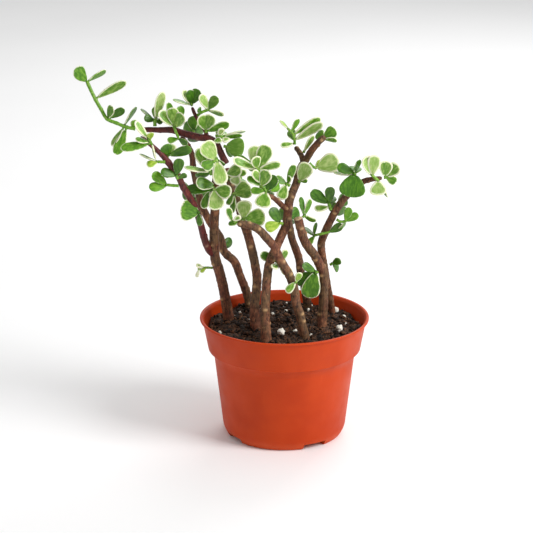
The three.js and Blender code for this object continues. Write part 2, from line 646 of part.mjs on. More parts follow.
/** Geometry of a manifold solid. */
function geometryOf(manifold) {
  const mesh = manifold.getMesh();
  const geometry = new THREE.BufferGeometry();
  geometry.setAttribute("position", new THREE.BufferAttribute(mesh.vertProperties, 3));
  geometry.setIndex(new THREE.BufferAttribute(mesh.triVerts, 1));
  geometry.computeVertexNormals();
  return geometry;
}

/** The largest separate body of a solid, without the crumbs that a cut leaves. */
function largestBody(manifold) {
  const bodies = manifold.decompose();
  return bodies.reduce((best, body) => (body.volume() > best.volume() ? body : best));
}

/** Closed solid through rings of equal count, each end closed on a single point. */
function loft(start, rings, end) {
  const count = rings[0].length;
  const points = [start, ...rings.flat(), end];
  const last = points.length - 1;
  const faces = [];
  for (let side = 0; side < count; side += 1) {
    const next = (side + 1) % count;
    faces.push(0, 1 + next, 1 + side);
    for (let ring = 0; ring < rings.length - 1; ring += 1) {
      const low = 1 + ring * count;
      const high = low + count;
      faces.push(low + side, low + next, high + next);
      faces.push(low + side, high + next, high + side);
    }
    faces.push(last, last - count + side, last - count + next);
  }
  const geometry = new THREE.BufferGeometry();
  geometry.setFromPoints(points);
  geometry.setIndex(faces);
  return solid(geometry);
}

/** Tube through the points of a route, with a radius and a ring of points at each. */
function taperedTube(route, radii, sides, swell, grow) {
  const curve = new THREE.CatmullRomCurve3(route, false, "centripetal");
  const last = route.length - 1;
  let normal = new THREE.Vector3(0, -1, 0.2);
  const rings = route.map((centre, step) => {
    const tangent = curve.getTangent(step / last);
    normal = normal.clone().addScaledVector(tangent, -normal.dot(tangent)).normalize();
    const across = new THREE.Vector3().crossVectors(tangent, normal);
    const size = radii[step] * (step % 2 === 1 ? swell : 1) + grow;
    return ringOfPoints(centre, normal, across, size, sides);
  });
  const start = route[0].clone().addScaledVector(curve.getTangent(0), -grow);
  const end = route[last].clone().addScaledVector(curve.getTangent(1), grow);
  return loft(start, rings, end);
}

/** Points of one round section. */
function ringOfPoints(centre, normal, across, radius, sides) {
  const points = [];
  for (let side = 0; side < sides; side += 1) {
    const angle = (2 * Math.PI * side) / sides;
    const point = centre.clone();
    point.addScaledVector(normal, radius * Math.cos(angle));
    point.addScaledVector(across, radius * Math.sin(angle));
    points.push(point);
  }
  return points;
}

/** Woody stem joined with its branches, from their routes. */
function stemSolid(routes, grow = 0) {
  return wasm.Manifold.union(routes.map((rows) => (
    taperedTube(rows.map(place), rows.map((row) => row[3]), STEM_SIDES, RING_SWELL, grow)
  )));
}

/** Four-sided section of a leaf or its stalk, wide along "side" and thin along "face". */
function leafSection(centre, face, side, half, thick) {
  return [
    centre.clone().addScaledVector(face, thick),
    centre.clone().addScaledVector(side, half),
    centre.clone().addScaledVector(face, -thick),
    centre.clone().addScaledVector(side, -half),
  ];
}

/** One fleshy leaf with its stalk: a loft that is broad near the leaf's round end. */
function leafSolid(root, base, tip, [width, turn], grow) {
  const axis = tip.clone().sub(base);
  const length = axis.length();
  axis.normalize();
  const face = new THREE.Vector3(0, -1, CROWN_FALL);
  face.addScaledVector(axis, -face.dot(axis)).normalize();
  face.applyAxisAngle(axis, THREE.MathUtils.degToRad(turn));
  const side = new THREE.Vector3().crossVectors(axis, face);
  const stalk = PETIOLE_RADIUS + grow;
  const foot = base.clone().addScaledVector(axis, LEAF_FOOT * length);
  const rings = [leafSection(foot, face, side, stalk, stalk)];
  for (const [share, breadth] of LEAF_STATIONS) {
    const centre = base.clone().addScaledVector(axis, share * length);
    centre.addScaledVector(face, LEAF_CURL * length * share * share);
    const half = (breadth * width) / 2 + grow;
    const thick = (LEAF_THICKNESS / 2) * Math.sqrt(breadth) + grow;
    rings.push(leafSection(centre, face, side, half, thick));
  }
  const end = tip.clone().addScaledVector(face, LEAF_CURL * length).addScaledVector(axis, grow);
  return loft(root.addScaledVector(axis, -STALK_ROOT), rings, end);
}

/** Nearest place to a point on the middle lines of the green shoots. */
function nearestPlace(routes, point) {
  const places = routes.flatMap((route) => (
    new THREE.CatmullRomCurve3(route, false, "centripetal").getPoints(24)
  ));
  return places.reduce((best, other) => (
    other.distanceTo(point) < best.distanceTo(point) ? other : best
  )).clone();
}

/** Green shoot joined with its side shoots and leaves in one body. */
function shootSolid({ radius, back, stem, twigs = [], leaves }, grow = 0) {
  const setBack = ([across, depth, height]) => place([across, depth + back, height]);
  const routes = [stem, ...twigs].map((route) => route.map(setBack));
  const parts = routes.map((route, index) => {
    const thickness = index === 0 ? radius : TWIG_RADIUS;
    return taperedTube(route, route.map(() => thickness), SHOOT_SIDES, 1, grow);
  });
  for (const leaf of leaves) {
    const base = setBack(leaf.slice(0, 3));
    const tip = setBack(leaf.slice(3, 6));
    parts.push(leafSolid(nearestPlace(routes, base), base, tip, leaf.slice(6), grow));
  }
  return wasm.Manifold.union(parts);
}

/** Turned solid about the vertical axis from a profile of [radius, height] points. */
function turned(profile, segments) {
  const points = profile.map(([radius, height]) => new THREE.Vector2(radius, height));
  const geometry = new THREE.LatheGeometry(points, segments);
  geometry.rotateX(Math.PI / 2);
  return geometry;
}

/** Profile of the pot: outside from the middle of the base to the lip, then back inside. */
function potProfile() {
  const lipFoot = POT_HEIGHT - LIP_DEPTH;
  const collarFoot = POT_HEIGHT - COLLAR_DEPTH;
  const shoulder = POT_HEIGHT - SHOULDER_DEPTH;
  const footTop = FOOT_RADIUS + FOOT_FLARE * FOOT_ROUND;
  return [
    [0, 0],
    [FOOT_RADIUS, 0],
    [FOOT_RADIUS + 0.25 * FOOT_ROUND, 0.22 * FOOT_ROUND],
    [footTop, FOOT_ROUND],
    [BODY_RADIUS, shoulder],
    [COLLAR_FOOT_RADIUS, collarFoot],
    [COLLAR_RADIUS, lipFoot],
    [LIP_RADIUS, lipFoot + 0.5],
    [LIP_RADIUS, POT_HEIGHT - 0.6],
    [LIP_RADIUS - 0.7, POT_HEIGHT],
    [COLLAR_RADIUS - WALL + 0.6, POT_HEIGHT],
    [COLLAR_RADIUS - WALL, POT_HEIGHT - 0.8],
    [COLLAR_FOOT_RADIUS - WALL, collarFoot + 0.4],
    [BODY_RADIUS - WALL, shoulder + 0.4],
    [footTop - WALL, FOOT_ROUND + FLOOR],
    [FOOT_RADIUS - WALL, FLOOR],
    [0, FLOOR],
  ];
}

/** Block that points outwards from the axis at one of the drain pockets. */
function pocketBlock(angle, inner, outer, width, bottom, top) {
  const geometry = new THREE.BoxGeometry(outer - inner, width, top - bottom);
  geometry.translate((inner + outer) / 2, 0, (bottom + top) / 2);
  geometry.rotateZ(angle - Math.PI / 2);
  return solid(geometry);
}

/** Moulded pot with raised pockets in its floor that let water out at the foot. */
function potSolid() {
  let pot = solid(turned(potProfile(), POT_SEGMENTS));
  const room = solid(turned(outerSkin(), POT_SEGMENTS));
  for (const angle of POCKET_ANGLES) {
    const boss = pocketBlock(
      angle, POCKET_INNER_RADIUS - WALL, LIP_RADIUS, POCKET_WIDTH + 2 * WALL,
      0.1, POCKET_HEIGHT + WALL,
    );
    pot = pot.add(boss.intersect(room));
  }
  for (const angle of POCKET_ANGLES) {
    pot = pot.subtract(pocketBlock(
      angle, POCKET_INNER_RADIUS, LIP_RADIUS, POCKET_WIDTH, -1, POCKET_HEIGHT,
    ));
    pot = pot.subtract(drainHole(angle));
  }
  return pot;
}

/** Outside of the pot's foot as a full body, to trim the raised pockets to the wall. */
function outerSkin() {
  const footTop = FOOT_RADIUS + FOOT_FLARE * FOOT_ROUND;
  return [
    [0, 0],
    [FOOT_RADIUS, 0],
    [FOOT_RADIUS + 0.25 * FOOT_ROUND, 0.22 * FOOT_ROUND],
    [footTop, FOOT_ROUND],
    [footTop + 0.6, FOOT_ROUND + 6],
    [0, FOOT_ROUND + 6],
  ];
}

/** Round hole through the ceiling of a drain pocket. */
function drainHole(angle) {
  const reach = (POCKET_INNER_RADIUS + FOOT_RADIUS) / 2;
  const geometry = new THREE.CylinderGeometry(DRAIN_RADIUS, DRAIN_RADIUS, 8, 12);
  geometry.rotateX(Math.PI / 2);
  geometry.translate(reach * Math.sin(angle), -reach * Math.cos(angle), POCKET_HEIGHT);
  return solid(geometry);
}

/** Height of the uneven top of the potting mix. */
function soilTop(x, y) {
  const share = Math.min(1, Math.hypot(x, y) / COLLAR_RADIUS);
  const mound = SOIL_MOUND * (1 - share * share);
  const lumps = Math.sin(0.31 * x + 1.1) * Math.cos(0.27 * y - 0.4) + Math.sin(0.19 * (x + y));
  return SOIL_HEIGHT + mound + SOIL_LUMP * lumps;
}

/** Potting mix that fills the pot, cut clear of the raised pockets and the stems. */
function soilSolid(stems) {
  const inset = WALL + GAP;
  const footTop = FOOT_RADIUS + FOOT_FLARE * FOOT_ROUND;
  const collarSlope = (COLLAR_RADIUS - COLLAR_FOOT_RADIUS) / (COLLAR_DEPTH - LIP_DEPTH);
  const soilRadius = COLLAR_RADIUS - (POT_HEIGHT - SOIL_HEIGHT) * collarSlope - inset;
  const profile = [
    [0, FLOOR + GAP],
    [FOOT_RADIUS - inset, FLOOR + GAP],
    [footTop - inset, FOOT_ROUND + FLOOR + GAP],
    [BODY_RADIUS - inset, POT_HEIGHT - SHOULDER_DEPTH],
    [COLLAR_FOOT_RADIUS - inset, POT_HEIGHT - COLLAR_DEPTH + 1],
  ];
  for (const ring of [1, 0.8, 0.6, 0.4, 0.2, 0]) {
    profile.push([ring * (soilRadius - GAP), SOIL_HEIGHT]);
  }
  const geometry = turned(profile, SOIL_SEGMENTS);
  const position = geometry.attributes.position;
  for (let index = 0; index < position.count; index += 1) {
    if (position.getZ(index) > SOIL_HEIGHT - 1) {
      position.setZ(index, soilTop(position.getX(index), position.getY(index)));
    }
  }
  let soil = solid(geometry);
  for (const angle of POCKET_ANGLES) {
    soil = soil.subtract(pocketBlock(
      angle, POCKET_INNER_RADIUS - WALL - GAP, LIP_RADIUS, POCKET_WIDTH + 2 * (WALL + GAP),
      0, POCKET_HEIGHT + WALL + GAP,
    ));
  }
  return largestBody(soil.subtract(stems));
}

/** Rough grain of perlite that lies just clear of the mix below it. */
function grainGeometry([x, y, size], index) {
  const geometry = new THREE.IcosahedronGeometry(size / 2, 0);
  geometry.scale(1, 0.85, 0.8);
  geometry.rotateZ(index);
  geometry.rotateX(0.4 * index);
  geometry.translate(x, y, soilTop(x, y) + size / 2 + GRAIN_LIFT);
  return geometry;
}

/** Named mesh with a plain finish. */
function piece(name, geometry, colour, roughness) {
  const material = new THREE.MeshStandardMaterial({ color: colour, roughness, metalness: 0 });
  const mesh = new THREE.Mesh(geometry, material);
  mesh.name = name;
  return mesh;
}

const pot = new THREE.Group();
const potBody = potSolid();
pot.add(piece("pot", geometryOf(potBody), POT_COLOUR, 0.45));
PERLITE_GRAINS.forEach((grain, index) => {
  const name = `perlite_grain_${index + 1}`;
  pot.add(piece(name, grainGeometry(grain, index), PERLITE_COLOUR, 0.9));
});

// Every later piece of the plant is cut clear of the ones before it.
const plant = new THREE.Group();
let taken = potBody;
for (const [name, routes] of Object.entries({ ...BARK_STEMS, ...YOUNG_STEMS })) {
  const body = largestBody(stemSolid(routes).subtract(taken));
  const young = name in YOUNG_STEMS;
  const colour = young ? YOUNG_BARK_COLOUR : BARK_COLOUR;
  plant.add(piece(name, geometryOf(body), colour, young ? 0.6 : 0.85));
  taken = taken.add(stemSolid(routes, GAP));
}
pot.add(piece("potting_mix", geometryOf(soilSolid(taken)), SOIL_COLOUR, 0.95));
for (const [name, shoot] of Object.entries(SHOOTS)) {
  const body = largestBody(shootSolid(shoot).subtract(taken));
  plant.add(piece(name, geometryOf(body), LEAF_COLOUR, 0.5));
  taken = taken.add(shootSolid(shoot, GAP));
}

const elephantBush = new THREE.Group();
elephantBush.add(pot, plant);

export default elephantBush;
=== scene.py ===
"""Potted elephant bush: a small variegated shrub in a thin moulded nursery pot."""

import logging
import math
import random
from collections.abc import Iterator
from dataclasses import dataclass, field
from enum import Enum

import bmesh
import bpy
from mathutils import Matrix, Quaternion, Vector, noise


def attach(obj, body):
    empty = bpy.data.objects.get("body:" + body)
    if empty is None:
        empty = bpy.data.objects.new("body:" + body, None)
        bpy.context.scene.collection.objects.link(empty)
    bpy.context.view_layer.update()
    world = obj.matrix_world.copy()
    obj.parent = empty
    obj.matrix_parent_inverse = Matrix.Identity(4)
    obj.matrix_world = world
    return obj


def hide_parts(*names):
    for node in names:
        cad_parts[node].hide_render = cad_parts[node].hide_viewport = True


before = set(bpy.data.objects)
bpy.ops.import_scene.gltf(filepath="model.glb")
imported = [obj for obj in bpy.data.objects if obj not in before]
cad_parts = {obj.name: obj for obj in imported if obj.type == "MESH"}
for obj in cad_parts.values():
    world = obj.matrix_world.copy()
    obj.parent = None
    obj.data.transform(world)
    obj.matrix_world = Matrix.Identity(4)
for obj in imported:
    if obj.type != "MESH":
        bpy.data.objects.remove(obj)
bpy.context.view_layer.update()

logger = logging.getLogger("elephant_bush")

MM = 0.001
CROWN_FALL = 0.32
CROWN_WIDEN = 0.00075
CROWN_MIDDLE = (-10.8, 104.9)
FIRST_SIDE = Vector((0, -1, 0.2))
FAR_FROM_EDGE = 3.0
SPECK_SHAPE = Vector((0.5, 0.42, 0.4))

Row = tuple[float, ...]
Colour = tuple[float, float, float]


def linear(red: int, green: int, blue: int) -> Colour:
    """Linear colour of an everyday 0 to 255 colour.

    Args:
        red: red share.
        green: green share.
        blue: blue share.

    Returns:
        The three linear channels.
    """
    shares = (channel / 255 for channel in (red, green, blue))
    return tuple(s / 12.92 if s <= 0.04045 else ((s + 0.055) / 1.055) ** 2.4 for s in shares)


def place(across: float, back: float, height: float) -> Vector:
    """Point on the plant, taken on the falling and widening planes of the crown.

    Args:
        across: millimetres to the right on the plane.
        back: millimetres of setback of the plane.
        height: millimetres up the plane.

    Returns:
        The point in millimetres.
    """
    widen = 1 + CROWN_WIDEN * back
    x = CROWN_MIDDLE[0] + (across - CROWN_MIDDLE[0]) * widen
    z = CROWN_MIDDLE[1] + (height - CROWN_MIDDLE[1]) * widen - CROWN_FALL * back
    return Vector((x, back, z))


def wobble(point: Vector, size: float, seed: float = 0.0) -> float:
    """Smooth noise between about -1 and 1.

    Args:
        point: place in millimetres.
        size: width of the noise's lumps in millimetres.
        seed: shift that picks another field of noise.

    Returns:
        The noise there.
    """
    return noise.noise(point / size + Vector((seed, 2.7 * seed, -1.3 * seed)))


class LeafTone(Enum):
    """The colourings that the variegated leaves have."""

    DARK = "dark"
    GREEN = "green"
    BRIGHT = "bright"
    VARIEGATED = "variegated"
    PALE = "pale"
    YELLOW = "yellow"
    GREY = "grey"
    EDGED = "edged"


D = LeafTone.DARK
G = LeafTone.GREEN
B = LeafTone.BRIGHT
V = LeafTone.VARIEGATED
P = LeafTone.PALE
Y = LeafTone.YELLOW
S = LeafTone.GREY
E = LeafTone.EDGED


@dataclass(frozen=True)
class ToneColours:
    """Flesh colours of a leaf tone and the width of its cream margin in millimetres."""

    flesh: Colour
    streak: Colour
    rim_width: float


TONES: dict[LeafTone, ToneColours] = {
    LeafTone.DARK: ToneColours(linear(54, 100, 8), linear(84, 132, 26), 0.0),
    LeafTone.GREEN: ToneColours(linear(74, 126, 16), linear(116, 164, 46), 0.3),
    LeafTone.BRIGHT: ToneColours(linear(92, 152, 18), linear(132, 184, 50), 0.0),
    LeafTone.VARIEGATED: ToneColours(linear(94, 144, 34), linear(158, 192, 90), 0.75),
    LeafTone.PALE: ToneColours(linear(142, 180, 82), linear(192, 210, 136), 0.9),
    LeafTone.YELLOW: ToneColours(linear(134, 170, 36), linear(176, 200, 80), 0.2),
    LeafTone.GREY: ToneColours(linear(90, 134, 38), linear(118, 154, 62), 0.0),
    LeafTone.EDGED: ToneColours(linear(64, 112, 14), linear(104, 150, 40), 0.6),
}


@dataclass(frozen=True)
class Stem:
    """Woody stem: routes of (across, back, height, radius) from the mix upwards."""

    name: str
    routes: tuple[tuple[Row, ...], ...]
    sawn: bool = False


@dataclass(frozen=True)
class Shoot:
    """Leafy green shoot.

    Leaves are (base across, back, height, tip across, back, height, width, turn, tone).
    """

    name: str
    radius: float
    back: float
    stem: tuple[Row, ...]
    leaves: tuple[tuple, ...]
    twigs: tuple[tuple[Row, ...], ...] = ()


BARK_STEMS: tuple[Stem, ...] = (
    Stem("left_front_stem", (
        (
            (-33, 9, 55, 3.4), (-33.5, 9, 70, 3.4), (-34.5, 9, 78, 3.2), (-36, 8, 87, 3.1),
            (-37.5, 7, 95, 3.1), (-39.5, 5, 103, 3.1), (-41.5, 3, 110, 3), (-42, 1, 120, 2.9),
            (-42, -2, 130, 2.8), (-41.5, -5, 141, 2.7), (-41.5, -7, 152, 2.4),
            (-40.5, -9, 162, 2.1), (-40, -10, 168.5, 1.8),
        ),
    )),
    Stem("left_back_stem", (
        (
            (-20.5, 31, 62, 2.7), (-21, 30, 79, 2.6), (-22, 30, 85, 2.6), (-24, 30, 92, 2.6),
            (-27, 30, 100, 2.5), (-30, 30, 108, 2.6), (-36, 30, 114, 2.5), (-38.5, 30, 123, 2.5),
            (-44, 30, 132, 2.4), (-49, 30, 142, 2.3), (-52, 30, 155, 2.1), (-54, 29, 165, 1.9),
            (-55, 29, 174.5, 1.8), (-57.5, 28, 180, 1.7), (-61, 27, 185, 1.6),
        ),
    )),
    Stem("centre_left_stem", (
        (
            (-15.5, -9, 50, 3.6), (-16, -9, 64, 3.6), (-17.5, -8, 70, 3.3), (-18, -7, 80, 2.9),
            (-17, -5, 88, 2.8), (-16.5, -4, 98, 2.7), (-17.5, -2, 105, 2.7), (-19, -1, 113, 2.7),
            (-22, 1, 125, 2.6), (-25, 3, 134, 2.5), (-28, 7, 145, 2.4), (-32, 11, 156, 2.3),
            (-34.3, 14, 166, 2.2),
        ),
    )),
    Stem("centre_stem", (
        (
            (-11, -28, 44, 3.3), (-11, -28, 58, 3.3), (-11.5, -26, 70, 2.9),
            (-11.5, -24, 80, 2.8), (-11, -22, 90, 2.7), (-10.5, -20, 97, 2.7),
            (-9.5, -18, 105, 2.7), (-8, -16, 110, 2.6), (-5, -13, 117, 2.6), (-2, -10, 124, 2.6),
            (1, -8, 131, 2.6), (2, -4, 140, 2.7), (3, 0, 147, 2.6), (5, 3, 152, 2.4),
            (7, 6, 157, 2.4), (8.5, 9, 164, 2.3), (11, 12, 169.5, 2.3),
        ),
        (
            (1.5, -4.6, 140.5, 1.7), (-1.5, -6, 143, 1.7), (-3.5, -8, 145, 1.6),
            (-7, -10, 148, 1.4), (-12, -13, 150, 1.2), (-13.2, -14, 152.5, 1),
        ),
        (
            (11, 12, 168.5, 1.7), (10.2, 13.5, 172.5, 1.7), (8.8, 15.5, 175.5, 1.6),
            (6.2, 18, 179, 1.4),
        ),
        (
            (11, 12, 168.5, 2.1), (13.2, 11, 172.2, 2.1), (16, 9, 177, 2.1), (20, 7, 182, 1.9),
            (23.5, 6, 185.3, 1.8),
        ),
    )),
    Stem("leaning_front_stem", (
        (
            (13, -25, 46, 3), (12.5, -24, 60, 2.9), (11, -24, 66, 2.7), (9.5, -23, 74, 2.7),
            (7, -23, 82, 2.7), (6, -22, 90, 2.7), (4, -22, 97, 2.6), (1, -22, 103, 2.6),
            (-3, -22, 110, 2.6), (-6, -22, 117, 2.5), (-10, -22, 122, 2.5),
            (-16, -22, 128.5, 2.4), (-22, -23, 131, 2.2), (-28, -24, 132, 2),
        ),
    )),
    Stem("right_stem", (
        (
            (22.5, -5, 52, 3.2), (22.5, -5, 65, 3.1), (23, -4, 75, 3.1), (23.5, -4, 82, 2.9),
            (23.5, -4, 91, 2.8), (23.5, -4, 100, 2.8), (21, -5, 106, 2.8), (18, -7, 112, 2.7),
            (15, -9, 116, 2.7), (12, -11, 121, 2.7), (9.5, -13, 129, 2.6), (8, -14, 135, 2.6),
        ),
    ), sawn=True),
    Stem("right_back_stem", (
        (
            (29.5, 24, 60, 2.2), (29, 22, 74, 2.1), (27.5, 20, 84, 2.1), (25.5, 17, 95, 2.2),
            (24, 13, 104, 2.3), (22.5, 9, 112, 2.4), (22, 6, 120, 2.4), (24, 3, 126, 2.4),
            (27, 0, 133, 2.3), (30, -3, 139, 2.3), (33, -6, 144, 2.2), (36, -8, 148, 2.1),
            (42, -11, 154, 1.9), (47, -13, 158, 1.7), (52, -14, 159.3, 1.5),
            (57.5, -15, 160, 1.2),
        ),
    )),
    Stem("centre_back_stem", (
        (
            (14.5, 30, 66, 2.7), (14, 28, 80, 2.6), (12, 27, 92, 2.5), (9.5, 26, 103, 2.5),
            (9, 26, 108, 2.4), (7, 26, 115, 2.4), (4.5, 26, 122, 2.3), (3, 27, 130, 2.2),
            (2, 28, 138, 2.1), (3.5, 29, 146, 2), (5.5, 30, 152, 1.9),
        ),
    )),
)

YOUNG_STEMS: tuple[Stem, ...] = (
    Stem("low_left_branch", (
        (
            (-42.2, 2.4, 112, 2), (-45.1, 0, 115, 2.1), (-47.5, -3, 121, 2.2),
            (-50, -7, 131, 2.1), (-53, -11, 141, 2.1), (-57, -14, 149, 2.1), (-60, -16, 154, 2),
            (-63.5, -18, 162, 1.9), (-66.5, -19, 166, 1.8), (-68.8, -20, 169.5, 2),
            (-72, -21, 173.5, 1.6), (-76.5, -22, 178, 1.4), (-81, -23, 182, 1.4),
            (-85, -24, 185, 1.2),
        ),
    )),
    Stem("long_left_branch", (
        (
            (-34.6, 14, 168.8, 2.1), (-36, 15, 171.5, 2.1), (-38, 17, 176, 2),
            (-40, 18, 181, 1.7), (-44, 19, 184.2, 1.9), (-50, 20, 184.8, 2.2),
            (-60, 22, 187.3, 2.2), (-66, 23, 189.2, 2), (-74, 24, 189.3, 1.7),
            (-80, 24, 189.5, 1.6), (-86, 24, 189.5, 1.5),
        ),
        (
            (-45.5, 19.8, 184.5, 1.3), (-47, 21, 189, 1.2), (-52.5, 24, 198, 1.1),
            (-54.5, 25, 203, 1),
        ),
    )),
)

